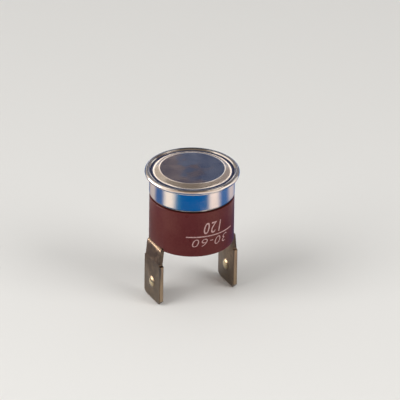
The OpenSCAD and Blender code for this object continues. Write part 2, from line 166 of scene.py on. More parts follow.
class TerminalSizes(bpy.types.PropertyGroup):
    """Sizes of the two stamped terminals"""

    sheet: length("Sheet", "Thickness of the strip", 0.8 * MM)
    tab_length: length("Tab length", "Length of a tab from tip to shoulder", 8.0 * MM)
    neck_width: length("Neck width", "Width of the neck", 5.2 * MM)
    lean: degrees("Lean", "Outward lean of the neck", 5.5)
    bend: length("Bend", "Inside radius of the bend under the housing", 0.3 * MM)
    knee: length("Knee", "Radius of the bend between neck and tab", 3.0 * MM)
    knee_rise: length("Knee rise", "Height of the knee above the tab", 0.1 * MM)
    tip: length("Tip", "Size of the chamfers at the tip", 0.95 * MM)
    tip_taper: length("Tip taper", "Length of the thinned end of the tab", 0.5 * MM)
    tip_share: amount("Tip share", "Share of the strip's thickness that is left at the tip", 0.5)
    shoulder: length("Shoulder", "Rounding of the tab's shoulders", 0.15 * MM)
    fillet: length("Fillet", "Rounding where the neck meets the shoulders", 0.3 * MM)
    long_edge: length("Long edge", "Width of the bevel along a tab's edges", 0.17 * MM)
    small_edge: length("Small edge", "Wear rounding of the other edges", 0.04 * MM)
    dimple_height: length("Dimple height", "Height of the dimple's centre above the tip", 3.65 * MM)
    dimple_radius: length("Dimple radius", "Radius of the pressed dimple at its foot", 1.25 * MM)
    dimple_angle: degrees("Dimple angle", "Steepest slope of the dimple", 32)
    dimple_fillet: length("Dimple fillet", "Rounding at the dimple's foot", 0.3 * MM)
    mark_radius: length("Mark radius", "Radius of the punch's mark behind the dimple", 0.8 * MM)
    mark_depth: length("Mark depth", "Depth of the punch's mark behind the dimple", 0.35 * MM)
    rivet_x: length("Rivet place", "Distance of each rivet from the housing's axis", 4.25 * MM)
    rivet_hole: length("Rivet hole", "Radius of the holes for the rivets", 0.88 * MM)


class RivetSizes(bpy.types.PropertyGroup):
    """Sizes of the two semi-tubular rivets"""

    shank: length("Shank", "Radius of the shank", 0.85 * MM)
    head: length("Head", "Radius of the head", 1.6 * MM)
    dome: length("Dome", "Radius of the head's dome", 8.0 * MM)
    edge: length("Edge", "Rounding at the head's edge", 0.12 * MM)
    roll: length("Roll", "Radius of the rolled end", 0.15 * MM)
    mouth: length("Mouth", "How far the hollow's mouth lies inside the shank", 0.18 * MM)
    wall: length("Wall", "Thickness of the wall round the hollow", 0.35 * MM)
    hollow: length("Hollow", "Depth of the straight hollow below the roll", 1.2 * MM)
    hollow_tip: length("Hollow tip", "Depth of the cone at the hollow's end", 0.3 * MM)


class ArmSizes(bpy.types.PropertyGroup):
    """Sizes of the contact arm's leaf and of the transfer pin that pushes it"""

    ledge: length("Ledge", "Distance from the axis to the ledge's edge, where the leaf bends", 2.7 * MM)
    clamped: length("Clamped", "How far the narrowing starts behind the ledge's edge", 0.1 * MM)
    taper: length("Taper", "Length over which the leaf narrows to its waist", 0.5 * MM)
    waist: length("Waist", "Length of the narrow waist", 0.8 * MM)
    waist_width: length("Waist width", "Width of the narrow waist", 2.2 * MM)
    blade_width: length("Blade width", "Width of the leaf under the pin", 2.6 * MM)
    blade_flat: length("Blade flat", "Length of the even width under the pin", 0.95 * MM)
    hole: length("Hole", "Radius of the hole for the moving contact", 0.63 * MM)
    edge: length("Edge", "Width of the broken edges of the leaf", 0.02 * MM)
    bend: length("Bend", "Length over which the leaf bends", 1.3 * MM)
    slices: length("Slices", "Width of the slices that let the leaf bend", 0.13 * MM)
    pin_dome: length("Pin dome", "Radius of the pin's domed ends", 2.0 * MM)
    pin_edge: length("Pin edge", "Rounding where the domes meet the pin's side", 0.1 * MM)


class PrintSizes(bpy.types.PropertyGroup):
    """Sizes of the print on the body"""

    ink: length("Ink", "Thickness of the printed ink", 0.012 * MM)
    rule: length("Rule", "Width of the printed rule line", 0.2 * MM)
    rule_height: length("Rule height", "Height of the rule line above the tab tips", 15.12 * MM)
    slant: amount("Slant", "Slope of the figures", 0.25)
    spacing: amount("Spacing", "Spacing of the figures as a share of the font's own", 1.12)


class Finishes(bpy.types.PropertyGroup):
    """Colours of the metals, mouldings and ink, and of the painted shade and reflections on the cap"""

    steel: colour("Steel", "Bright plated steel of the cap", "#dfdbd6")
    # Painted light: shade under the cap's rim and lip, warm and bluish reflections on the face, a blue-grey
    # one on the rim
    painted_shade: colour("Painted shade", "Dull film in the cap's corners", "#4c433e")
    painted_warm_reflection: colour("Painted warm reflection", "Warm patches on the sensing face", "#aea39f")
    painted_blue_reflection: colour("Painted blue reflection", "Bluish patches on the sensing face", "#909eb2")
    painted_rim_reflection: colour("Painted rim reflection", "Blue-grey film on the rim's flat top", "#68717f")
    phenolic: colour("Phenolic", "Reddish-brown moulding", "#592422")
    phenolic_fleck: colour("Fleck", "Lighter filler in the moulding", "#6b3831")
    tinned: colour("Tinned brass", "Dulled plating of the terminals", "#695c4f")
    bare_brass: colour("Bare brass", "Brass at the terminals' sheared edges", "#a18c74")
    rubbed_brass: colour("Rubbed brass", "Brass where plugs have rubbed the dimples", "#e2d0a8")
    ink: colour("Ink", "Printed ink", "#c09b97")
    brass: colour("Brass", "Bright brass of rivets and bracket", "#c2a05c")
    bronze: colour("Bronze", "Rolled spring bronze", "#bd8d62")
    bimetal: colour("Bimetal", "Rolled bimetal sheet", "#b4b0aa")
    guide: colour("Guide", "Dark moulding inside the cap", "#46332f")
    ceramic: colour("Ceramic", "Ground steatite of the pin", "#ece6d8")
    silver: colour("Silver", "Contact silver", "#dedcd8")


class StageSettings(bpy.types.PropertyGroup):
    """The floor, the lamps, the cards and the camera"""

    azimuth: degrees("Azimuth", "Turn of the camera round the object", -27.382)
    elevation: degrees("Elevation", "Height of the camera above the horizon", 28.713)
    roll: degrees("Roll", "Tilt of the photograph", 0.837)
    distance: length("Distance", "Distance of the camera", 2.0)
    floor: colour("Floor", "Plain pale floor", "#e8e6e2")
    view: length("View", "Half the width that the camera sees at the object", 36.186 * MM)
    floor_radius: length("Floor radius", "Radius of the floor", 3.0)
    key_power: amount("Key", "Power of the left lamp", 1.35, "POWER")
    fill_power: amount("Fill", "Power of the right lamp", 0.9, "POWER")
    lamp_reach: length("Lamp reach", "Distance of the lamps from the object", 0.5)
    card_reach: length("Card reach", "Distance of the first hung card from the object", 0.45)
    sky: amount("Sky", "Strength of the even light from all round", 0.45)
    ring_glow: amount("Ring glow", "Strength of the rings on the floor in bright metal", 1.25)


# Modelling tools


def start_wire(name):
    """A new piece with its object at the origin and one selected vertex, left in edit mode."""
    bpy.ops.object.select_all(action="DESELECT")
    bpy.ops.mesh.primitive_plane_add(size=MM, location=(0, 0, 0))
    piece = bpy.context.object
    piece.name = name
    bpy.ops.object.mode_set(mode="EDIT")
    bpy.ops.mesh.select_all(action="SELECT")
    bpy.ops.mesh.merge(type="CENTER")
    return piece


def draw_wire(name, start, path, across=(1, 0, 0), up=(0, 0, 1), bend_step=6):
    """Draws a wire in the plane of two directions. Each step of the path is a straight run to a point (a, b),
    or a bend (a, b, degrees) about a centre, anticlockwise if positive. Left in edit mode, all selected."""
    across, up = Vector(across), Vector(up)
    piece = start_wire(name)
    here = across * start[0] + up * start[1]
    bpy.ops.transform.translate(value=here)
    for step in path:
        point = across * step[0] + up * step[1]
        if len(step) == 2:
            bpy.ops.mesh.extrude_region_move(TRANSFORM_OT_translate={"value": point - here})
            here = point
        else:
            turn = math.radians(step[2])
            normal = across.cross(up)
            steps = max(2, math.ceil(abs(step[2]) / bend_step))
            bpy.ops.mesh.spin(steps=steps, angle=turn, center=point, axis=-normal)
            here = point + Matrix.Rotation(turn, 3, normal) @ (here - point)
    bpy.ops.mesh.select_all(action="SELECT")
    return piece


def close_mesh():
    """Merges doubles and turns the faces outwards, then leaves edit mode."""
    bpy.ops.mesh.select_all(action="SELECT")
    bpy.ops.mesh.remove_doubles(threshold=MERGE)
    bpy.ops.mesh.normals_make_consistent(inside=False)
    bpy.ops.object.mode_set(mode="OBJECT")


def spin_round(steps=192):
    """Spins the drawn section once round the Z axis and closes its poles."""
    bpy.ops.mesh.spin(steps=steps, angle=2 * math.pi, center=(0, 0, 0), axis=(0, 0, 1))
    close_mesh()


def draw_prism(name, start, path, depth, **plane):
    """A closed outline pulled out along a vector into a solid. The path comes back to its start by itself."""
    piece = draw_wire(name, start, path + [start], **plane)
    bpy.ops.mesh.remove_doubles(threshold=MERGE)
    bpy.ops.mesh.edge_face_add()
    bpy.ops.mesh.extrude_region_move(TRANSFORM_OT_translate={"value": depth})
    close_mesh()
    return piece


def make_active(piece):
    """Selects this piece alone."""
    bpy.ops.object.select_all(action="DESELECT")
    piece.select_set(True)
    bpy.context.view_layer.objects.active = piece


def apply_modifier(piece, kind, **fields):
    """Adds a modifier with these settings and applies it."""
    make_active(piece)
    modifier = piece.modifiers.new(kind, kind)
    for field, value in fields.items():
        setattr(modifier, field, value)
    bpy.ops.object.modifier_apply(modifier=modifier.name)


def combine(piece, tool, operation):
    """Cuts, joins or keeps the common part of a piece and a tool, and removes the tool."""
    apply_modifier(piece, "BOOLEAN", object=tool, operation=operation, solver="EXACT")
    bpy.data.objects.remove(tool)
    if not piece.data.polygons:
        raise RuntimeError(f"{piece.name} came out empty")


def place_mesh(piece):
    """Moves the piece's place into its mesh, so that its object stays at the origin."""
    make_active(piece)
    bpy.ops.object.transform_apply(location=True, rotation=True, scale=True)


def drill(piece, place, radius, depth=THROUGH):
    """Drills an upright round hole whose middle lies at this place."""
    bpy.ops.mesh.primitive_cylinder_add(vertices=48, radius=radius, depth=depth, location=place)
    combine(piece, bpy.context.object, "DIFFERENCE")


def slice_upright(piece, spacing):
    """Cuts a flat piece across X into narrow upright slices, so that it can follow a curve."""
    make_active(piece)
    xs = [v.co.x for v in piece.data.vertices]
    bpy.ops.object.mode_set(mode="EDIT")
    for i in range(1, int((max(xs) - min(xs)) / spacing) + 1):
        cut = (min(xs) + i * spacing, 0, 0)
        bpy.ops.mesh.select_all(action="SELECT")
        bpy.ops.mesh.bisect(plane_co=cut, plane_no=(1, 0, 0), threshold=1e-7)
    close_mesh()


def copy_piece(piece, name):
    """A copy with its own mesh."""
    made = piece.copy()
    made.data = piece.data.copy()
    made.name = name
    bpy.context.collection.objects.link(made)
    return made


def finish_piece(piece, finish, body, node=None, smooth=30):
    """Shades a piece, gives it its finish, lets it ride on its body and hides its frame node, whose place it
    takes.
    A piece with no body named here rides on none, and print has no node."""
    make_active(piece)
    bpy.ops.object.shade_smooth_by_angle(angle=math.radians(smooth))
    piece.data.materials.clear()
    piece.data.materials.append(finish)
    if body:
        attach(piece, body)
    if node:
        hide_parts(node)


# Finishes


def add_node(tree, kind, values=(), links=(), **fields):
    """Adds one shader node: fields are its settings, values fill its sockets, and links join them. Sockets 1
    to 4 of MapRange are the range that comes in and the one that goes out, and 6 and 7 of Mix its colours."""
    made = tree.nodes.new(f"ShaderNode{kind}")
    for field, value in fields.items():
        setattr(made, field, value)
    for socket, value in dict(values).items():
        made.inputs[socket].default_value = value
    for socket, source in dict(links).items():
        tree.links.new(source, made.inputs[socket])
    return made


def start_finish(name):
    """A new material, its tree and its output, which is the only node in it."""
    material = bpy.data.materials.new(name)
    material.use_nodes = True
    tree = material.node_tree
    tree.nodes.clear()
    return material, tree, add_node(tree, "OutputMaterial")


def fine_lines(tree, place, scale, spacing, strength, depth):
    """The bump of the fine lines that rolls or a grinding wheel leave. They run in the directions in which
    the pattern's scale is small."""
    along = add_node(tree, "Mapping", links={0: place}, values={"Scale": scale})
    line = add_node(
        tree, "TexNoise", values={"Scale": 1 / spacing, "Detail": 2.0}, links={0: along.outputs[0]}
    )
    return add_node(
        tree, "Bump", values={"Strength": strength, "Distance": depth}, links={"Height": line.outputs[0]}
    ).outputs[0]


def plated_steel(colours, skirt_low, skirt_high):
    """Deep-drawn steel with bright nickel plating: a clear mirror with draw marks down the skirt, a dull worn
    face painted with warm and bluish reflections in patches, a painted blue-grey reflection on the rim's flat
    top and painted brownish shade under the rim and at the lower lip."""
    material, tree, output = start_finish("plated_steel")
    place = add_node(tree, "TexCoord").outputs["Object"]
    parts = add_node(tree, "SeparateXYZ", links={0: place})
    flat = add_node(tree, "CombineXYZ", links={0: parts.outputs[0], 1: parts.outputs[1]})
    radius = add_node(tree, "VectorMath", operation="LENGTH", links={0: flat.outputs[0]}).outputs["Value"]
    normal = add_node(tree, "NewGeometry").outputs["Normal"]
    facing = add_node(tree, "SeparateXYZ", links={0: normal}).outputs[2]
    height = parts.outputs[2]
    # Clouds lie one to three millimetres across: film for the patchy painted shade, patches for the painted
    # reflections on the face, and shine and waves for unevenness
    clouds = {}
    for name, size, detail in (
        ("film", 1.6 * MM, 4.0), ("patches", 3.2 * MM, 6.0),
        ("shine", 2.2 * MM, 5.0), ("waves", 1.5 * MM, 2.0),
    ):
        clouds[name] = add_node(
            tree, "TexNoise", values={"Scale": 1 / size, "Detail": detail}, links={0: place}
        ).outputs[0]
    # The face's painted reflections lean along X: warm towards -X, bluish towards +X
    slant = add_node(
        tree, "Math", operation="MULTIPLY", links={0: parts.outputs[0]}, values={1: 0.045 / MM}
    )
    reflection_split = add_node(
        tree, "Math", operation="ADD", links={0: clouds["patches"], 1: slant.outputs[0]}
    ).outputs[0]
    # Each mask rises softly to its share from one place to another, or falls where they are swapped
    masks = {}
    for name, source, first, last, share in (
        ("skirt", height, skirt_high, skirt_high - 0.1 * MM, 1.0),
        ("skirt_wear", height, skirt_high, skirt_high - 0.1 * MM, 0.25),
        ("under_rim", height, skirt_high - 0.35 * MM, skirt_high, 1.0),
        ("lip", height, skirt_low + 0.65 * MM, skirt_low + 0.3 * MM, 1.0),
        ("face", radius, 6.1 * MM, 5.7 * MM, 1.0),
        ("raised_wear", radius, 7.2 * MM, 6.8 * MM, 0.9),
        ("rim_top", radius, 7.2 * MM, 7.45 * MM, 1.0),
        ("rim_edge", radius, 8.42 * MM, 8.25 * MM, 1.0),
        ("above_skirt", height, skirt_high, skirt_high + 0.3 * MM, 1.0),
        # Painted light: level keeps the rim reflection on upward faces, film makes the shade patchy, patches
        # split the face's reflections
        ("level", facing, 0.75, 0.92, 0.85),
        ("film", clouds["film"], 0.25, 0.5, 0.95),
        ("patches", reflection_split, 0.39, 0.6, 1.0),
    ):
        low, high = (0.0, share) if first < last else (share, 0.0)
        masks[name] = add_node(
            tree, "MapRange", interpolation_type="SMOOTHSTEP", links={0: source},
            values={1: min(first, last), 2: max(first, last), 3: low, 4: high},
        ).outputs[0]
    # Painted shade, in the film cloud's patches, lies under the rim and at the lower lip, and the painted
    # blue-grey rim reflection on the rim's level flat top between its bends. Wear is the face's and, less,
    # the skirt's.
    for name, operation, other in (
        ("under_rim", "MULTIPLY", "skirt"),
        ("under_rim", "MAXIMUM", "lip"),
        ("film", "MULTIPLY", "under_rim"),
        ("rim_top", "MULTIPLY", "rim_edge"),
        ("rim_top", "MULTIPLY", "above_skirt"),
        ("rim_top", "MULTIPLY", "level"),
        ("raised_wear", "MAXIMUM", "skirt_wear"),
    ):
        masks[name] = add_node(
            tree, "Math", operation=operation, links={0: masks[name], 1: masks[other]}
        ).outputs[0]
    # Painted shade under the rim and at the lower lip, then the painted blue-grey reflection on the rim's
    # flat top
    shaded_steel = add_node(
        tree, "Mix", data_type="RGBA", links={0: masks["film"]},
        values={6: colours.steel, 7: colours.painted_shade},
    )
    rimmed = add_node(
        tree, "Mix", data_type="RGBA", links={0: masks["rim_top"], 6: shaded_steel.outputs[2]},
        values={7: colours.painted_rim_reflection},
    )
    # Painted warm and bluish reflections on the sensing face, in place of the steel
    dull = add_node(
        tree, "Mix", data_type="RGBA", links={0: masks["patches"]},
        values={6: colours.painted_warm_reflection, 7: colours.painted_blue_reflection},
    )
    plating = add_node(
        tree, "Mix", data_type="RGBA", links={0: masks["face"], 6: rimmed.outputs[2], 7: dull.outputs[2]}
    )
    shine = add_node(
        tree, "MapRange", links={0: clouds["shine"]}, values={1: 0.3, 2: 0.75, 3: 0.09, 4: 0.17}
    )
    worn = add_node(
        tree, "MapRange", links={0: clouds["shine"]}, values={1: 0.3, 2: 0.75, 3: 0.2, 4: 0.28}
    )
    rough = add_node(
        tree, "Mix", links={0: masks["raised_wear"], 2: shine.outputs[0], 3: worn.outputs[0]}
    )
    # Draw marks run down the skirt, at 0.3 mm coarser than the real ones, so that they show
    down = add_node(tree, "Mapping", links={0: place}, values={"Scale": (1, 1, 0.04)})
    mark = add_node(
        tree, "TexNoise", values={"Scale": 1 / (0.3 * MM), "Detail": 3.0}, links={0: down.outputs[0]}
    )
    mark = add_node(tree, "Math", operation="MULTIPLY", links={0: mark.outputs[0], 1: masks["skirt"]})
    marks = add_node(
        tree, "Bump", values={"Strength": 0.12, "Distance": 0.02 * MM}, links={"Height": mark.outputs[0]}
    )
    # The sheet itself is wavy over 1 to 2 mm by some micrometres
    wave = add_node(tree, "Math", operation="MULTIPLY", links={0: clouds["waves"], 1: masks["skirt"]})
    waves = add_node(
        tree, "Bump", values={"Strength": 0.35, "Distance": 0.04 * MM},
        links={"Height": wave.outputs[0], "Normal": marks.outputs[0]},
    )
    shader = add_node(
        tree, "BsdfPrincipled", values={"Metallic": 1.0},
        links={"Base Color": plating.outputs[2], "Roughness": rough.outputs[0], "Normal": waves.outputs[0]},
    )
    tree.links.new(shader.outputs[0], output.inputs[0])
    return material


def moulded_phenolic(name, base_colour, fleck_colour, roughness):
    """Compression-moulded phenolic filled with wood flour: a semi-gloss resin skin over a dark body, with
    faint lighter flecks of filler and a very slight orange peel."""
    material, tree, output = start_finish(name)
    place = add_node(tree, "TexCoord").outputs["Object"]
    # Flour grains are 0.1 to 0.2 mm: clumps of them show
    grain = add_node(tree, "TexNoise", values={"Scale": 1 / (0.35 * MM), "Detail": 4.0}, links={0: place})
    flow = add_node(tree, "TexNoise", values={"Scale": 1 / (4.5 * MM), "Detail": 2.0}, links={0: place})
    both = add_node(tree, "Math", operation="ADD", links={0: grain.outputs[0], 1: flow.outputs[0]})
    share = add_node(tree, "MapRange", links={0: both.outputs[0]}, values={1: 0.85, 2: 1.4, 3: 0.0, 4: 0.6})
    base = add_node(
        tree, "Mix", data_type="RGBA", links={0: share.outputs[0]}, values={6: base_colour, 7: fleck_colour}
    )
    rough = add_node(
        tree, "MapRange", links={0: flow.outputs[0]},
        values={1: 0.3, 2: 0.7, 3: roughness, 4: roughness + 0.1},
    )
    peel = add_node(tree, "TexNoise", values={"Scale": 1 / (0.5 * MM), "Detail": 2.0}, links={0: place})
    bump = add_node(
        tree, "Bump", values={"Strength": 0.15, "Distance": 0.02 * MM}, links={"Height": peel.outputs[0]}
    )
    shader = add_node(
        tree, "BsdfPrincipled", values={"IOR": 1.6, "Specular IOR Level": 0.15},
        links={"Base Color": base.outputs[2], "Roughness": rough.outputs[0], "Normal": bump.outputs[0]},
    )
    tree.links.new(shader.outputs[0], output.inputs[0])
    return material


def tinned_brass(colours, half_width, dimple_place):
    """Stamped brass with a thin tin coat gone dull: brownish grey on the broad faces, with bare warm brass
    where the press sheared the long edges and where plugs have rubbed the dimples."""
    material, tree, output = start_finish("tinned_brass")
    place = add_node(tree, "TexCoord").outputs["Object"]
    parts = add_node(tree, "SeparateXYZ", links={0: place})
    across = add_node(tree, "Math", operation="ABSOLUTE", links={0: parts.outputs[1]})
    edge = add_node(
        tree, "MapRange", interpolation_type="SMOOTHSTEP", links={0: across.outputs[0]},
        values={1: half_width - 0.12 * MM, 2: half_width - 0.02 * MM, 3: 0.0, 4: 1.0},
    )
    # The tin thins out in patches some tenths of a millimetre across
    patch = add_node(tree, "TexNoise", values={"Scale": 1 / (0.9 * MM), "Detail": 6.0}, links={0: place})
    worn = add_node(tree, "MapRange", links={0: patch.outputs[0]}, values={1: 0.45, 2: 0.8, 3: 0.0, 4: 0.45})
    one_side = add_node(tree, "VectorMath", operation="ABSOLUTE", links={0: place})
    away = add_node(
        tree, "VectorMath", operation="DISTANCE", links={0: one_side.outputs[0]}, values={1: dimple_place}
    )
    rubbed = add_node(
        tree, "MapRange", interpolation_type="SMOOTHSTEP", links={0: away.outputs["Value"]},
        values={1: 0.7 * MM, 2: 1.2 * MM, 3: 1.0, 4: 0.0},
    )
    bare = add_node(tree, "Math", operation="MAXIMUM", links={0: edge.outputs[0], 1: worn.outputs[0]})
    coat = add_node(
        tree, "Mix", data_type="RGBA", links={0: bare.outputs[0]},
        values={6: colours.tinned, 7: colours.bare_brass},
    )
    base = add_node(
        tree, "Mix", data_type="RGBA", links={0: rubbed.outputs[0], 6: coat.outputs[2]},
        values={7: colours.rubbed_brass},
    )
    dull = add_node(tree, "MapRange", links={0: patch.outputs[0]}, values={1: 0.3, 2: 0.75, 3: 0.28, 4: 0.42})
    rough = add_node(tree, "Mix", links={0: rubbed.outputs[0], 2: dull.outputs[0]}, values={3: 0.12})
    # Rolling lines run along the strip, coarser than the real ones, so that they show
    lines = fine_lines(
        tree, place, scale=(0.1, 1, 0.1), spacing=0.12 * MM, strength=0.2, depth=0.01 * MM
    )
    shader = add_node(
        tree, "BsdfPrincipled", values={"Metallic": 1.0},
        links={"Base Color": base.outputs[2], "Roughness": rough.outputs[0], "Normal": lines},
    )
    tree.links.new(shader.outputs[0], output.inputs[0])
    return material


def rolled_metal(name, base_colour, roughness, tarnish):
    """Bare rolled or headed metal: a satin mirror with faint rolling lines and cloudy tarnish."""
    material, tree, output = start_finish(name)
    place = add_node(tree, "TexCoord").outputs["Object"]
    cloud = add_node(tree, "TexNoise", values={"Scale": 1 / (1.2 * MM), "Detail": 4.0}, links={0: place})
    share = add_node(
        tree, "MapRange", links={0: cloud.outputs[0]}, values={1: 0.4, 2: 0.75, 3: 0.0, 4: tarnish}
    )
    dull = tuple(c * 0.45 for c in base_colour[:3]) + (1.0,)
    base = add_node(
        tree, "Mix", data_type="RGBA", links={0: share.outputs[0]}, values={6: base_colour, 7: dull}
    )
    rough = add_node(
        tree, "MapRange", links={0: cloud.outputs[0]},
        values={1: 0.3, 2: 0.75, 3: roughness[0], 4: roughness[1]},
    )
    lines = fine_lines(
        tree, place, scale=(0.08, 1, 1), spacing=0.1 * MM, strength=0.2, depth=0.008 * MM
    )
    shader = add_node(
        tree, "BsdfPrincipled", values={"Metallic": 1.0},
        links={"Base Color": base.outputs[2], "Roughness": rough.outputs[0], "Normal": lines},
    )
    tree.links.new(shader.outputs[0], output.inputs[0])
    return material


def ground_ceramic(colours):
    """Ground steatite: off-white, matt, with grinding marks round the rod and a few dark specks."""
    material, tree, output = start_finish("ground_ceramic")
    place = add_node(tree, "TexCoord").outputs["Object"]
    speck = add_node(tree, "TexNoise", values={"Scale": 1 / (0.15 * MM), "Detail": 3.0}, links={0: place})
    share = add_node(tree, "MapRange", links={0: speck.outputs[0]}, values={1: 0.66, 2: 0.8, 3: 0.0, 4: 0.5})
    dark = tuple(c * 0.5 for c in colours.ceramic[:3]) + (1.0,)
    base = add_node(
        tree, "Mix", data_type="RGBA", links={0: share.outputs[0]}, values={6: colours.ceramic, 7: dark}
    )
    marks = fine_lines(
        tree, place, scale=(0.1, 0.1, 1), spacing=0.06 * MM, strength=0.25, depth=0.01 * MM
    )
    shader = add_node(
        tree, "BsdfPrincipled", values={"Roughness": 0.55},
        links={"Base Color": base.outputs[2], "Normal": marks},
    )
    tree.links.new(shader.outputs[0], output.inputs[0])
    return material


def printed_ink(colours):
    """Pad-printed ink: a thin matt film, a little uneven in cover, so that some brown shows through."""
    material, tree, output = start_finish("printed_ink")
    place = add_node(tree, "TexCoord").outputs["Object"]
    cover = add_node(tree, "TexNoise", values={"Scale": 1 / (0.25 * MM), "Detail": 4.0}, links={0: place})
    thin = add_node(tree, "MapRange", links={0: cover.outputs[0]}, values={1: 0.45, 2: 0.75, 3: 0.0, 4: 0.6})
    base = add_node(
        tree, "Mix", data_type="RGBA", links={0: thin.outputs[0]},
        values={6: colours.ink, 7: colours.phenolic},
    )
    shader = add_node(
        tree, "BsdfPrincipled", values={"Roughness": 0.6}, links={"Base Color": base.outputs[2]}
    )
    tree.links.new(shader.outputs[0], output.inputs[0])
    return material


# Pieces


def slope_angle(run, rise, radii):
    """Angle at which a straight slope leaves two round bends that turn opposite ways."""
    along = math.sqrt(run**2 + (radii - rise) ** 2 - radii**2)
    return math.degrees(math.atan2(radii, along) - math.atan2(radii - rise, run))


class THERMOSTAT_OT_cap(bpy.types.Operator):
    """Spins the drawn cap: raised face, sloped shoulder, channel, folded rim, skirt and curled lip"""

    bl_idname = "thermostat.cap"
    bl_label = "Cap"

    def execute(self, context):
        size = context.scene.cap_sizes
        half = size.sheet / 2
        shoulder, foot, rise, corner = size.shoulder_bend, size.foot_bend, size.rise_bend, size.corner_bend
        face_z, skirt_z = cap_high.z, cap_low.z
        channel_z = face_z - size.face_rise
        rim_under = channel_z - 2 * size.sheet - size.fold_gap
        bead = (channel_z + size.rim_rise - rim_under) / 2
        bead_x, bead_z, bead_mid = cap_high.x - bead, rim_under + bead, bead - half
        slope = slope_angle(size.foot_radius - size.face_radius, size.face_rise, shoulder + foot)
        # The channel turns up by half a right angle and runs straight on to the rim's round edge
        rise_angle = math.pi / 4
        rise_radii = rise + bead_mid
        drop = channel_z - half + rise - bead_z
        rise_x = bead_x - (rise_radii - drop * math.cos(rise_angle)) / math.sin(rise_angle)
        foot_z = channel_z - half + foot
        slope_end = math.radians(270 - slope)
        skirt_mid = size.skirt_radius - half
        lip_z = skirt_z + size.sheet + size.curl
        cap = draw_wire("cap_shell", (0, face_z - half), [
            (size.face_radius, face_z - half),
            (size.face_radius, face_z - half - shoulder, -slope),
            (size.foot_radius + foot * math.cos(slope_end), foot_z + foot * math.sin(slope_end)),
            (size.foot_radius, foot_z, slope),
            (rise_x, channel_z - half),
            (rise_x, channel_z - half + rise, 45),
            (bead_x - bead_mid * math.sin(rise_angle), bead_z + bead_mid * math.sin(rise_angle)),
            (bead_x, bead_z, -225),
            (size.skirt_radius + corner, rim_under + half),
            (size.skirt_radius + corner, rim_under - corner, 90),
            (skirt_mid, lip_z),
            (skirt_mid - size.curl - half, lip_z, -90),
            (size.lip_radius, skirt_z + half),
        ])
        spin_round(256)
        apply_modifier(cap, "SOLIDIFY", thickness=size.sheet, offset=0, use_even_offset=True)
        finish = plated_steel(context.scene.finishes, skirt_z, rim_under)
        finish_piece(cap, finish, CASE, "cap", smooth=40)
        return {"FINISHED"}


class THERMOSTAT_OT_housing(bpy.types.Operator):
    """Spins the moulded housing, adds the ledge and ribs inside and cuts the pockets and bores"""

    bl_idname = "thermostat.housing"
    bl_label = "Housing"

    def execute(self, context):
        size, terminal = context.scene.housing_sizes, context.scene.terminal_sizes
        housing = self.spin_body(size)
        self.raise_ledge(housing, size, context.scene.arm_sizes.ledge)
        self.raise_ribs(housing, size, terminal.rivet_x)
        self.cut_pockets(housing, size, terminal.rivet_x)
        for x in (-terminal.rivet_x, terminal.rivet_x):
            drill(housing, (x, 0, chamber_floor), terminal.rivet_hole)
        apply_modifier(
            housing, "BEVEL", width=size.small_edge, segments=2, limit_method="ANGLE",
            angle_limit=math.radians(50), use_clamp_overlap=True, harden_normals=False,
        )
        colours = context.scene.finishes
        finish = moulded_phenolic(
            "moulded_phenolic", colours.phenolic, colours.phenolic_fleck, roughness=0.27
        )
        finish_piece(housing, finish, CASE, "housing")
        return {"FINISHED"}

    def spin_body(self, size):
        """Spins the round body with its lower rim, crimp groove, collar and chamber."""
        body, low, top = housing_high.x, housing_low.z, housing_high.z
        shoulder = cap_low.z - size.lip_gap
        collar = cap_low.z + size.groove_height
        edge, soft = size.edge, size.edge / 2
        rim_in = body - size.rim_width
        housing = draw_wire("housing_body", (0, low + size.recess), [
            (rim_in, low + size.recess),
            (rim_in, low + soft),
            (rim_in + soft, low + soft, 90),
            (body - edge, low),
            (body - edge, low + edge, 90),
            (body, shoulder - edge),
            (body - edge, shoulder - edge, 90),
            (size.groove_radius, shoulder),
            (size.groove_radius, collar),
            (size.collar_radius - size.collar_bevel, collar),
            (size.collar_radius, collar + size.collar_bevel),
            (size.collar_radius, top),
            (size.chamber_radius, top),
            (size.chamber_radius, chamber_floor),
            (0, chamber_floor),
        ], bend_step=15)
        spin_round()
        return housing

    def raise_ledge(self, housing, size, ledge_x):
        """Adds the ledge under the contact arm's clamped end, rounded to the chamber's wall."""
        half, wall, into_wall = size.ledge_width / 2, housing_high.x, 0.1 * MM
        height = clamp_high.z - size.ledge_drop - chamber_floor
        ledge = draw_prism("ledge", (ledge_x, -half), [
            (wall, -half), (wall, half), (ledge_x, half),
        ], (0, 0, height + OVERLAP), up=(0, 1, 0))
        ledge.location.z = chamber_floor - OVERLAP
        place_mesh(ledge)
        bpy.ops.mesh.primitive_cylinder_add(
            vertices=96, radius=size.chamber_radius + into_wall, depth=THROUGH,
            location=(0, 0, chamber_floor),
        )
        combine(ledge, bpy.context.object, "INTERSECT")
        combine(housing, ledge, "UNION")

    def raise_ribs(self, housing, size, rivet_x):
        """Adds the two ribs that keep the contact bracket straight."""
        start = -rivet_x - size.rib_length / 2
        end = start + size.rib_length
        for side in (-1, 1):
            near, far = side * size.rib_place, side * (size.rib_place + size.rib_width)
            rib = draw_prism("rib", (start, near), [
                (end, near), (end, far), (start, far),
            ], (0, 0, size.rib_height + OVERLAP), up=(0, 1, 0))
            rib.location.z = chamber_floor - OVERLAP
            place_mesh(rib)
            combine(housing, rib, "UNION")

    def cut_pockets(self, housing, size, rivet_x):
        """Cuts the pockets for the terminals, which are open through the lower rim."""
        half, end = size.pocket_width / 2, housing_high.x + OVERLAP
        for turn in (0, math.pi):
            pocket = draw_prism("pocket", (rivet_x, half), [
                (rivet_x, 0, 180), (end, -half), (end, half),
            ], (0, 0, size.pocket + OVERLAP), up=(0, 1, 0))
            pocket.location.z = housing_low.z - OVERLAP
            pocket.rotation_euler.z = turn
            place_mesh(pocket)
            combine(housing, pocket, "DIFFERENCE")


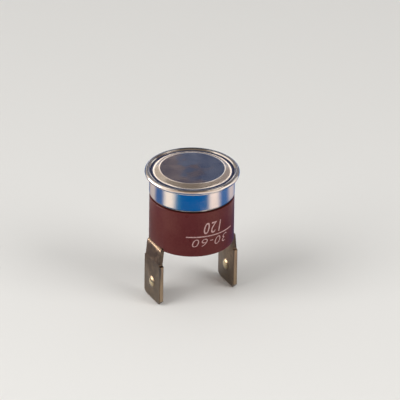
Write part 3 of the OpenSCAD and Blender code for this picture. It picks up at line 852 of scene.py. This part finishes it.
class THERMOSTAT_OT_terminals(bpy.types.Operator):
    """Bends the terminal strip, cuts its outline, bevels it and presses a dimple, once for each side"""

    bl_idname = "thermostat.terminals"
    bl_label = "Terminals"

    def execute(self, context):
        size = context.scene.terminal_sizes
        half, sheet_half = tab_high.y, size.sheet / 2
        tab_x, top = tab_high.x - sheet_half, tab_high.z - sheet_half
        knee, knee_z = size.knee, size.tab_length + size.knee_rise
        bend = size.bend + sheet_half
        bend_z = top - bend
        rise = bend_z + bend * math.sin(size.lean) - knee_z - knee * math.sin(size.lean)
        knee_x = tab_x - knee
        bend_x = knee_x + (knee - bend) * math.cos(size.lean) - rise * math.tan(size.lean)
        lean = math.degrees(size.lean)
        strip_end = size.rivet_x - size.neck_width / 2 - OVERLAP
        blank = draw_wire("terminal_blank", (strip_end, top), [
            (bend_x, top),
            (bend_x, bend_z, lean - 90),
            (knee_x + knee * math.cos(size.lean), knee_z + knee * math.sin(size.lean)),
            (knee_x, knee_z, -lean),
            (tab_x, size.tip_taper),
            (tab_x, 0),
        ], bend_step=5)
        bpy.ops.transform.translate(value=(0, -half, 0))
        bpy.ops.mesh.extrude_region_move(TRANSFORM_OT_translate={"value": (0, 2 * half, 0)})
        close_mesh()
        apply_modifier(blank, "SOLIDIFY", thickness=size.sheet, offset=0, use_even_offset=True)
        self.taper_tip(blank, tab_x, size.tip_share)
        self.bevel_long_edges(blank, half, knee_z, size.long_edge)
        self.cut_outline(blank, size, half, top)
        fixed = copy_piece(blank, "fixed_tab_strip")
        fixed.rotation_euler.z = math.pi
        place_mesh(fixed)
        blank.name = "moving_tab_strip"
        finish = tinned_brass(context.scene.finishes, half, (tab_x, 0, size.dimple_height))
        self.press_dimple(blank, tab_x - sheet_half, size)
        self.press_dimple(fixed, -tab_x - sheet_half, size)
        for piece, node in ((blank, "moving_terminal"), (fixed, "fixed_terminal")):
            apply_modifier(
                piece, "BEVEL", width=size.small_edge, segments=2, limit_method="ANGLE",
                angle_limit=math.radians(38), use_clamp_overlap=True,
            )
            finish_piece(piece, finish, CASE, node, smooth=25)
        return {"FINISHED"}

    def taper_tip(self, blank, tab_x, share):
        """Thins the end of the tab from both faces."""
        bpy.ops.object.mode_set(mode="EDIT")
        bpy.ops.mesh.select_all(action="DESELECT")
        bpy.ops.object.mode_set(mode="OBJECT")
        for vertex in blank.data.vertices:
            vertex.select = vertex.co.z < HAIR
        bpy.ops.object.mode_set(mode="EDIT")
        bpy.ops.transform.resize(value=(share, 1, 1), center_override=(tab_x, 0, 0))
        bpy.ops.object.mode_set(mode="OBJECT")

    def bevel_long_edges(self, blank, half, knee_z, width):
        """Cuts the corners along the straight tab, as the press tool leaves them."""
        bpy.ops.object.mode_set(mode="EDIT")
        bpy.ops.mesh.select_mode(type="EDGE")
        bpy.ops.mesh.select_all(action="DESELECT")
        bpy.ops.object.mode_set(mode="OBJECT")
        for edge in blank.data.edges:
            ends = [blank.data.vertices[i].co for i in edge.vertices]
            along = abs(ends[0].z - ends[1].z) > HAIR
            outer = all(abs(abs(e.y) - half) < HAIR and e.z < knee_z + HAIR for e in ends)
            edge.select = along and outer
        bpy.ops.object.mode_set(mode="EDIT")
        bpy.ops.mesh.bevel(
            offset=width, offset_type="OFFSET", segments=1, affect="EDGES", clamp_overlap=False
        )
        bpy.ops.mesh.select_mode(type="VERT")
        bpy.ops.object.mode_set(mode="OBJECT")

    def cut_outline(self, blank, size, half, top):
        """Keeps what the press tool leaves: chamfered tip, shoulders, narrow neck and round strip end."""
        neck, tip, shoulder, fillet = size.neck_width / 2, size.tip, size.shoulder, size.fillet
        tab_top, outer, above, reach = size.tab_length, half + HAIR, top + OVERLAP, tab_high.x + OVERLAP
        front = draw_prism("front_tool", (half - tip, -HAIR), [
            (outer, tip),
            (outer, tab_top - shoulder),
            (outer - shoulder, tab_top - shoulder, 90),
            (neck + fillet, tab_top),
            (neck + fillet, tab_top + fillet, -90),
            (neck, above), (-neck, above), (-neck, tab_top + fillet),
            (-neck - fillet, tab_top + fillet, -90),
            (shoulder - outer, tab_top),
            (shoulder - outer, tab_top - shoulder, 90),
            (-outer, tip),
            (tip - half, -HAIR),
        ], (reach, 0, 0), across=(0, 1, 0), bend_step=10)
        combine(blank, front, "INTERSECT")
        end, side = size.rivet_x + OVERLAP, half + OVERLAP
        end_tool = draw_prism("end_tool", (size.rivet_x, neck), [
            (size.rivet_x, 0, 180), (end, -neck), (end, -side),
            (reach, -side), (reach, side), (end, side), (end, neck),
        ], (0, 0, THROUGH), up=(0, 1, 0), bend_step=5)
        end_tool.location.z = -OVERLAP
        place_mesh(end_tool)
        combine(blank, end_tool, "INTERSECT")
        drill(blank, (size.rivet_x, 0, top), size.rivet_hole)

    def press_dimple(self, piece, x, size):
        """Raises a dimple on the face at x, towards -X, and sinks the punch's mark into the face behind it.
        Both tools start a little inside or outside the face, so that they cut it cleanly."""
        fillet, root, base, lead = size.dimple_fillet, -0.005 * MM, -0.15 * MM, -0.1 * MM
        angle = size.dimple_angle
        across = size.dimple_radius - fillet * math.sin(angle)
        dome = across / math.sin(angle)
        height = root + fillet * (1 - math.cos(angle))
        bump = draw_wire("dimple", (0, base), [
            (size.dimple_radius, base),
            (size.dimple_radius, root),
            (size.dimple_radius, root + fillet, -math.degrees(angle)),
            (0, height - dome * math.cos(angle), math.degrees(angle)),
        ], bend_step=3)
        self.turn_to_face(bump, x, size)
        combine(piece, bump, "UNION")
        ball = (size.mark_radius**2 + size.mark_depth**2) / (2 * size.mark_depth)
        reach = math.degrees(math.asin(size.mark_radius / ball))
        mark = draw_wire("punch_mark", (0, lead), [
            (size.mark_radius, lead), (size.mark_radius, 0), (0, size.mark_depth - ball, reach),
        ], bend_step=4)
        self.turn_to_face(mark, x + size.sheet, size)
        combine(piece, mark, "DIFFERENCE")

    def turn_to_face(self, tool, x, size):
        """Spins a drawn section and turns its axis from +Z to -X at the dimple's place."""
        spin_round(64)
        tool.rotation_euler.y = -math.pi / 2
        tool.location = (x, 0, size.dimple_height)
        place_mesh(tool)


class THERMOSTAT_OT_rivets(bpy.types.Operator):
    """Spins the two semi-tubular rivets with their domed heads and rolled ends"""

    bl_idname = "thermostat.rivets"
    bl_label = "Rivets"

    def execute(self, context):
        size, terminal = context.scene.rivet_sizes, context.scene.terminal_sizes
        brass = context.scene.finishes.brass
        finish = rolled_metal("headed_brass", brass, roughness=(0.2, 0.34), tarnish=0.5)
        strip_z = tab_high.z - terminal.sheet
        shank, head, roll = size.shank, size.head, size.roll
        spread = math.degrees(math.asin((head - size.edge) / size.dome))
        sag = size.dome * (1 - math.cos(math.radians(spread)))
        for name, x, low, high in (
            ("fixed_rivet", -terminal.rivet_x, fixed_rivet_low, fixed_rivet_high),
            ("moving_rivet", terminal.rivet_x, moving_rivet_low, moving_rivet_high),
        ):
            top = high.z - 2 * roll
            hollow_z = top - size.hollow
            rivet = draw_wire(f"{name}_spun", (0, low.z), [
                (0, low.z + size.dome, spread),
                (head - size.edge, low.z + sag + size.edge, 90 - spread),
                (head, strip_z),
                (shank, strip_z),
                (shank, top),
                (shank + roll, top),
                (shank + roll, top + roll, 180),
                (shank - size.mouth, high.z),
                (shank - size.wall, top),
                (shank - size.wall, hollow_z),
                (0, hollow_z - size.hollow_tip),
            ], bend_step=10)
            spin_round(64)
            rivet.location.x = x
            place_mesh(rivet)
            finish_piece(rivet, finish, CASE, name, smooth=35)
        return {"FINISHED"}


class THERMOSTAT_OT_print(bpy.types.Operator):
    """Prints plain numbers and a rule line on the body, upside down as the body stands"""

    bl_idname = "thermostat.print"
    bl_label = "Print"

    def execute(self, context):
        size, body = context.scene.print_sizes, housing_high.x
        # Each row's middle along the body's round, its lowest edge, height, stretch and added weight
        rows = (
            ("120", 4.4 * MM, 15.6 * MM, 3.2 * MM, 0.75, 0.0),
            ("30-60", 4.0 * MM, 13.1 * MM, 2.3 * MM, 1.25, -0.035 * MM),
        )
        rule_left, rule_right, slices = -0.9 * MM, 8.9 * MM, 0.15 * MM
        parts = [self.letter(size, *row) for row in rows]
        parts.append(self.rule(size, rule_left, rule_right))
        make_active(parts[0])
        for part in parts:
            part.select_set(True)
        bpy.ops.object.join()
        ink = context.object
        ink.name = "body_print"
        slice_upright(ink, slices)
        xs = [v.co.x for v in ink.data.vertices]
        turn = (max(xs) - min(xs)) / body
        apply_modifier(ink, "SIMPLE_DEFORM", deform_method="BEND", deform_axis="Z", angle=turn)
        ink.location.y = -body
        place_mesh(ink)
        ink.rotation_euler.z = context.scene.stage_settings.azimuth
        place_mesh(ink)
        finish_piece(ink, printed_ink(context.scene.finishes), CASE)
        return {"FINISHED"}

    def letter(self, size, words, middle, low, height, stretch, heavier):
        """Plain figures in a flat row, centred on an arc length from the camera's side of the body."""
        bpy.ops.object.select_all(action="DESELECT")
        bpy.ops.object.text_add()
        row = bpy.context.object
        row.data.body = words
        row.data.size = height
        row.data.shear = size.slant
        row.data.space_character = size.spacing
        row.data.extrude = size.ink
        row.data.offset = heavier
        row.scale.x = stretch
        row.data.resolution_u = 6
        row.data.align_x = "CENTER"
        bpy.ops.object.convert(target="MESH")
        ys = [v.co.y for v in row.data.vertices]
        row.rotation_euler = (math.pi / 2, 0, 0)
        place_mesh(row)
        row.rotation_euler = (0, math.pi, 0)
        row.location = (middle, 0, low + max(ys))
        place_mesh(row)
        return row

    def rule(self, size, left, right):
        """The straight line between the two rows of figures."""
        half = size.rule / 2
        low, high = size.rule_height - half, size.rule_height + half
        return draw_prism("rule", (left, low), [
            (right, low), (right, size.rule_height, 180), (left, high), (left, size.rule_height, 180),
        ], (0, -size.ink, 0), bend_step=30)


class THERMOSTAT_OT_contact_arm(bpy.types.Operator):
    """Stamps the contact arm's flat leaf, with its holes and broken edges, and cuts it into narrow upright
    slices
    """

    bl_idname = "thermostat.contact_arm"
    bl_label = "Contact arm"

    def execute(self, context):
        size, terminal = context.scene.arm_sizes, context.scene.terminal_sizes
        rivet_x = terminal.rivet_x
        pad = size.ledge + size.clamped
        waist = pad - size.taper
        half_waist, half_blade, flat = size.waist_width / 2, size.blade_width / 2, size.blade_flat / 2
        end_radius = -rivet_x - arm_low.x
        corners = [
            (pad, arm_high.y), (waist, half_waist), (waist - size.waist, half_waist),
            (flat, half_blade), (-flat, half_blade), (-rivet_x, end_radius),
        ]
        far_side = [(x, -y) for x, y in reversed(corners[:-1])]
        leaf = draw_prism("contact_arm_leaf", (arm_high.x, arm_low.y), [
            (arm_high.x, arm_high.y), *corners, (-rivet_x, 0, 180), *far_side,
        ], (0, 0, arm_high.z - arm_low.z), up=(0, 1, 0))
        leaf.location.z = arm_low.z
        place_mesh(leaf)
        for x, radius in ((rivet_x, terminal.rivet_hole), (-rivet_x, size.hole)):
            drill(leaf, (x, 0, arm_low.z), radius, depth=MM)
        apply_modifier(
            leaf, "BEVEL", width=size.edge, segments=1, limit_method="ANGLE", angle_limit=math.radians(50)
        )
        slice_upright(leaf, size.slices)
        bronze = context.scene.finishes.bronze
        finish = rolled_metal("spring_bronze", bronze, roughness=(0.22, 0.34), tarnish=0.4)
        finish_piece(leaf, finish, None, "contact_arm")
        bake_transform(leaf)
        return {"FINISHED"}


class THERMOSTAT_OT_transfer_pin(bpy.types.Operator):
    """Spins the transfer pin with the domed ends that let it roll on the arm and the disc"""

    bl_idname = "thermostat.transfer_pin"
    bl_label = "Transfer pin"

    def execute(self, context):
        size = context.scene.arm_sizes
        radius, dome, edge = pin_high.x, size.pin_dome, size.pin_edge
        spread = math.asin((radius - edge) / (dome - edge))
        low_z = pin_low.z + dome - (dome - edge) * math.cos(spread)
        high_z = pin_low.z + pin_high.z - low_z
        spread = math.degrees(spread)
        pin = draw_wire("transfer_pin_ground", (0, pin_low.z), [
            (0, pin_low.z + dome, spread),
            (radius - edge, low_z, 90 - spread),
            (radius, high_z),
            (radius - edge, high_z, 90 - spread),
            (0, pin_high.z - dome, spread),
        ], bend_step=5)
        spin_round(64)
        finish = ground_ceramic(context.scene.finishes)
        finish_piece(pin, finish, PIN, "transfer_pin", smooth=35)
        return {"FINISHED"}


class THERMOSTAT_OT_inner_pieces(bpy.types.Operator):
    """Gives the other pieces inside the case their finishes"""

    bl_idname = "thermostat.inner_pieces"
    bl_label = "Inner pieces"

    def execute(self, context):
        colours = context.scene.finishes
        bimetal = rolled_metal("rolled_bimetal", colours.bimetal, roughness=(0.3, 0.42), tarnish=0.3)
        guide = moulded_phenolic("guide_phenolic", colours.guide, colours.phenolic, roughness=0.42)
        stamped = rolled_metal("stamped_brass", colours.brass, roughness=(0.24, 0.38), tarnish=0.4)
        silver = rolled_metal("contact_silver", colours.silver, roughness=(0.25, 0.4), tarnish=0.35)
        finishes = {
            "bimetal_disc": bimetal,
            "guide_plate": guide,
            "moving_contact": silver,
            "fixed_contact": silver,
            "contact_bracket": stamped,
            "clamp_plate": stamped,
        }
        for name, finish in finishes.items():
            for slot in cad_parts[name].material_slots:
                slot.material = finish
        return {"FINISHED"}


class THERMOSTAT_OT_stage(bpy.types.Operator):
    """Lays the floor, hangs the lamps and cards and sets the camera at the photograph's angle"""

    bl_idname = "thermostat.stage"
    bl_label = "Stage"

    def execute(self, context):
        stage = context.scene.stage_settings
        context.scene.view_settings.view_transform = "Standard"
        self.sky(context, stage)
        self.floor(stage)
        for name, bearing, height, size, power in (
            ("left_lamp", -58, 42, 0.3, stage.key_power),
            ("right_lamp", 62, 38, 0.26, stage.fill_power),
        ):
            self.lamp(stage, name, bearing, height, size, power)
        self.cards(stage)
        self.camera(context, stage)
        return {"FINISHED"}

    def towards(self, stage, bearing, height):
        """Direction from the object at a bearing, which runs anticlockwise from the camera's side, and a
        height above the floor, both in degrees."""
        turn = stage.azimuth - math.pi / 2 + math.radians(bearing)
        tilt = math.radians(height)
        level = math.cos(tilt)
        return Vector((math.cos(turn) * level, math.sin(turn) * level, math.sin(tilt)))

    def sky(self, context, stage):
        """Even light from all round, with a plain pale background for the eye and for bright metal."""
        world = bpy.data.worlds.new("studio_sky")
        context.scene.world = world
        world.use_nodes = True
        tree = world.node_tree
        tree.nodes.clear()
        path = add_node(tree, "LightPath")
        seen = path.outputs["Is Camera Ray"]
        for ray in ("Is Glossy Ray", "Is Transmission Ray"):
            seen = add_node(
                tree, "Math", operation="MAXIMUM", links={0: seen, 1: path.outputs[ray]}
            ).outputs[0]
        light = add_node(tree, "Background", values={0: (1, 1, 1, 1), 1: stage.sky})
        pale = add_node(tree, "Background", values={0: stage.floor, 1: 1.0})
        both = add_node(tree, "MixShader", links={0: seen, 1: light.outputs[0], 2: pale.outputs[0]})
        add_node(tree, "OutputWorld", links={0: both.outputs[0]})

    def floor(self, stage):
        """A wide pale floor that is clear from below, so that the underside can be looked at."""
        bpy.ops.object.select_all(action="DESELECT")
        bpy.ops.mesh.primitive_circle_add(
            vertices=96, radius=stage.floor_radius, fill_type="NGON", location=(0, 0, 0)
        )
        floor = bpy.context.object
        floor.name = "floor"
        material, tree, output = start_finish("pale_floor")
        paper = add_node(
            tree, "BsdfPrincipled", values={0: stage.floor, "Roughness": 0.9, "Specular IOR Level": 0.0}
        )
        clear = add_node(tree, "BsdfTransparent")
        side = add_node(tree, "NewGeometry")
        both = add_node(
            tree, "MixShader",
            links={0: side.outputs["Backfacing"], 1: paper.outputs[0], 2: clear.outputs[0]},
        )
        tree.links.new(both.outputs[0], output.inputs[0])
        floor.data.materials.append(material)

    def lamp(self, stage, name, bearing, height, size, power):
        """A square soft box that looks at the cap."""
        direction = self.towards(stage, bearing, height)
        bpy.ops.object.light_add(type="AREA", location=direction * stage.lamp_reach)
        lamp = bpy.context.object
        lamp.name = name
        lamp.data.shape = "SQUARE"
        lamp.data.size = size
        lamp.data.energy = power
        lamp.rotation_euler = direction.to_track_quat("Z", "Y").to_euler()
        lamp.visible_glossy = False

    def card(self, name, low, high):
        """A card between two edges that only bright surfaces show, as a photographer lays cards round
        polished metal. Returns its glow."""
        mesh = bpy.data.meshes.new(name)
        count = len(low)
        faces = [(i, i + 1, count + i + 1, count + i) for i in range(count - 1)]
        mesh.from_pydata(low + high, [], faces)
        card = bpy.data.objects.new(name, mesh)
        bpy.context.collection.objects.link(card)
        material, tree, output = start_finish(name)
        glow = add_node(tree, "Emission")
        tree.links.new(glow.outputs[0], output.inputs[0])
        mesh.materials.append(material)
        card.visible_camera = False
        card.visible_diffuse = False
        card.visible_shadow = False
        return glow

    def floor_ring(self, stage, name, near, far, stops):
        """A ring just above the floor whose colour changes softly with the bearing, for the skirt's bands."""
        above, bearings = 0.3 * MM, range(-180, 181, 10)
        rings = ([self.towards(stage, b, 0) * reach for b in bearings] for reach in (near, far))
        glow = self.card(name, *([(p.x, p.y, above) for p in ring] for ring in rings))
        tree = glow.id_data
        place = add_node(tree, "TexCoord").outputs["Object"]
        turned = add_node(
            tree, "Mapping", links={0: place}, values={"Rotation": (0, 0, math.pi / 2 - stage.azimuth)}
        )
        bearing = add_node(tree, "TexGradient", gradient_type="RADIAL", links={0: turned.outputs[0]})
        ramp = add_node(tree, "ValToRGB", links={0: bearing.outputs[1]})
        ramp.color_ramp.interpolation = "EASE"
        for degrees_round, hex_colour in stops:
            stop = ramp.color_ramp.elements.new((degrees_round + 180) / 360)
            stop.color = linear(hex_colour)
        for spare in (ramp.color_ramp.elements[-1], ramp.color_ramp.elements[0]):
            ramp.color_ramp.elements.remove(spare)
        tree.links.new(ramp.outputs[0], glow.inputs[0])
        glow.inputs[1].default_value = stage.ring_glow

    def cards(self, stage):
        """Lays rings on the floor for the skirt's bands, and hangs cards round the cap for its rim and
        slope."""
        white, dusk, shade, deep = "#fff1e6", "#345079", "#28507a", "#00599f"
        self.floor_ring(stage, "outer_ring", 38 * MM, 70 * MM, (
            (-166, dusk), (-152, "#66708c"), (-138, "#b8adad"), (-119, "#c6bbb8"), (-99, "#36609a"),
            (-86, "#36609a"), (-64, white), (-54, white), (-33, "#2f74a4"), (-24, deep), (26, deep),
            (36, "#1a5f9a"), (52, "#f8e6df"), (63, "#f8e6df"), (84, "#446ca6"), (98, "#446ca6"),
            (121, "#d0c2c3"), (132, "#c2b6ba"), (150, "#8d96b0"), (168, "#5a74a0"),
        ))
        self.floor_ring(stage, "far_ring", 70 * MM, 400 * MM, (
            (-165, "#2f6aa8"), (-140, "#7f8fa8"), (-110, "#c4b7b2"), (-85, white), (-60, white),
            (-40, "#dcc4b2"), (-20, "#b5a294"), (0, "#b8a496"), (20, "#ecd6c4"), (40, white), (100, white),
            (120, "#dccdc4"), (140, "#7f9cc0"), (165, "#2f6aa8"),
        ))
        self.floor_ring(stage, "inner_ring", 18 * MM, 38 * MM, (
            (-165, shade), (-155, "#857a7c"), (-90, "#857a7c"), (-80, shade),
            (20, shade), (30, "#ada4a6"), (75, "#ada4a6"), (85, shade),
        ))
        # Bearings, heights, colour and strength of each hung card, each a little nearer than the last
        reach, nearer, bearing_step = stage.card_reach, 0.002, 10
        for name, first, last, low, high, hex_colour, strength in (
            ("top_card", 0, 360, 52, 90, "#7a6e64", 1),
            ("back_card", 168, 192, 20.5, 43, "#484f6e", 1),
            ("back_strip", 165, 195, -5, 20.5, white, 2),
            ("left_back_card", -171, -148, 44, 64, white, 1.6),
            ("right_back_card", 148, 171, 44, 64, white, 1.6),
            ("left_low_card", -180, -134, -8, 12, "#3a5684", 1),
            ("right_low_card", 134, 180, -8, 12, "#3a5684", 1),
            ("left_strip", -171, -161, 14, 43, white, 1.8),
            ("right_strip", 161, 171, 14, 43, white, 1.6),
            ("left_grey_card", -161, -134, 12, 52, "#c4b5a6", 1),
            ("right_grey_card", 134, 161, 12, 52, "#a0938f", 1),
            ("left_window", -132, -62, 4, 50, white, 1.2),
            ("right_window", 70, 102, 2, 32, white, 1.5),
            ("right_side_card", 102, 120, 0, 19, white, 1.2),
            ("right_dark_card", 72, 134, 33, 52, "#6d5d5a", 1),
            ("room_left_card", -62, -18, 9, 44, "#efd6c5", 1),
            ("room_card", -18, 14, 9, 24, "#b49c91", 1),
            ("room_right_card", 14, 70, 9, 44, "#f8e2d2", 1),
            ("room_middle_card", -18, 14, 24, 44, "#dcc0ad", 1),
            ("room_high_card", -62, 60, 44, 56, "#b59c8c", 1),
            ("left_high_card", -120, -75, 50, 74, white, 1.3),
            ("right_high_card", 85, 120, 52, 74, white, 1.6),
            ("lamp_card", -119, -77, 1, 15, white, 13),
        ):
            steps = max(1, round((last - first) / bearing_step))
            bearings = [first + (last - first) * i / steps for i in range(steps + 1)]
            edges = ([self.towards(stage, b, height) * reach for b in bearings] for height in (low, high))
            glow = self.card(name, *edges)
            glow.inputs[0].default_value = linear(hex_colour)
            glow.inputs[1].default_value = strength
            reach -= nearer

    def camera(self, context, stage):
        """A long lens at the photograph's angle and framing."""
        back = self.towards(stage, 0, math.degrees(stage.elevation))
        right = self.towards(stage, 90, 0)
        up = back.cross(right)
        tilt = Matrix.Rotation(stage.roll, 3, back)
        right, up = tilt @ right, tilt @ up
        # The picture's middle lies a little to the right of the object's middle and above it
        middle, aside, above = Vector((0, 0, 12 * MM)), 1.5566 * MM, 5.794 * MM
        aim = middle + right * aside + up * above
        bpy.ops.object.camera_add(location=aim + back * stage.distance)
        camera = context.object
        camera.name = "photo_camera"
        camera.rotation_euler = Matrix((right, up, back)).transposed().to_euler()
        camera.data.sensor_width = 36
        camera.data.lens = camera.data.sensor_width * stage.distance / (2 * stage.view)
        camera.data.clip_start = 0.1
        camera.data.clip_end = 10
        context.scene.camera = camera


class THERMOSTAT_PT_panel(bpy.types.Panel):
    """Lists the pieces in the order in which they are made"""

    bl_label = "Thermostat"
    bl_idname = "THERMOSTAT_PT_panel"
    bl_space_type = "VIEW_3D"
    bl_region_type = "UI"
    bl_category = "Thermostat"

    def draw(self, context):
        for operator in OPERATORS:
            self.layout.operator(operator.bl_idname)
        for name in GROUPS:
            group = getattr(context.scene, name)
            box = self.layout.box()
            for field in group.bl_rna.properties.keys():
                if field not in ("rna_type", "name"):
                    box.prop(group, field)


GROUPS = {
    "cap_sizes": CapSizes,
    "housing_sizes": HousingSizes,
    "terminal_sizes": TerminalSizes,
    "rivet_sizes": RivetSizes,
    "arm_sizes": ArmSizes,
    "print_sizes": PrintSizes,
    "finishes": Finishes,
    "stage_settings": StageSettings,
}
OPERATORS = (
    THERMOSTAT_OT_stage,
    THERMOSTAT_OT_cap,
    THERMOSTAT_OT_housing,
    THERMOSTAT_OT_terminals,
    THERMOSTAT_OT_rivets,
    THERMOSTAT_OT_print,
    THERMOSTAT_OT_contact_arm,
    THERMOSTAT_OT_transfer_pin,
    THERMOSTAT_OT_inner_pieces,
)


def register():
    for name, group in GROUPS.items():
        bpy.utils.register_class(group)
        setattr(bpy.types.Scene, name, bpy.props.PointerProperty(type=group))
    for operator in OPERATORS:
        bpy.utils.register_class(operator)
    bpy.utils.register_class(THERMOSTAT_PT_panel)


def unregister():
    bpy.utils.unregister_class(THERMOSTAT_PT_panel)
    for operator in reversed(OPERATORS):
        bpy.utils.unregister_class(operator)
    for name, group in GROUPS.items():
        delattr(bpy.types.Scene, name)
        bpy.utils.unregister_class(group)


def main():
    register()
    bpy.ops.thermostat.stage()
    bpy.ops.thermostat.cap()
    bpy.ops.thermostat.housing()
    bpy.ops.thermostat.terminals()
    bpy.ops.thermostat.rivets()
    bpy.ops.thermostat.print()
    bpy.ops.thermostat.contact_arm()
    bpy.ops.thermostat.transfer_pin()
    bpy.ops.thermostat.inner_pieces()


if __name__ == "__main__":
    main()
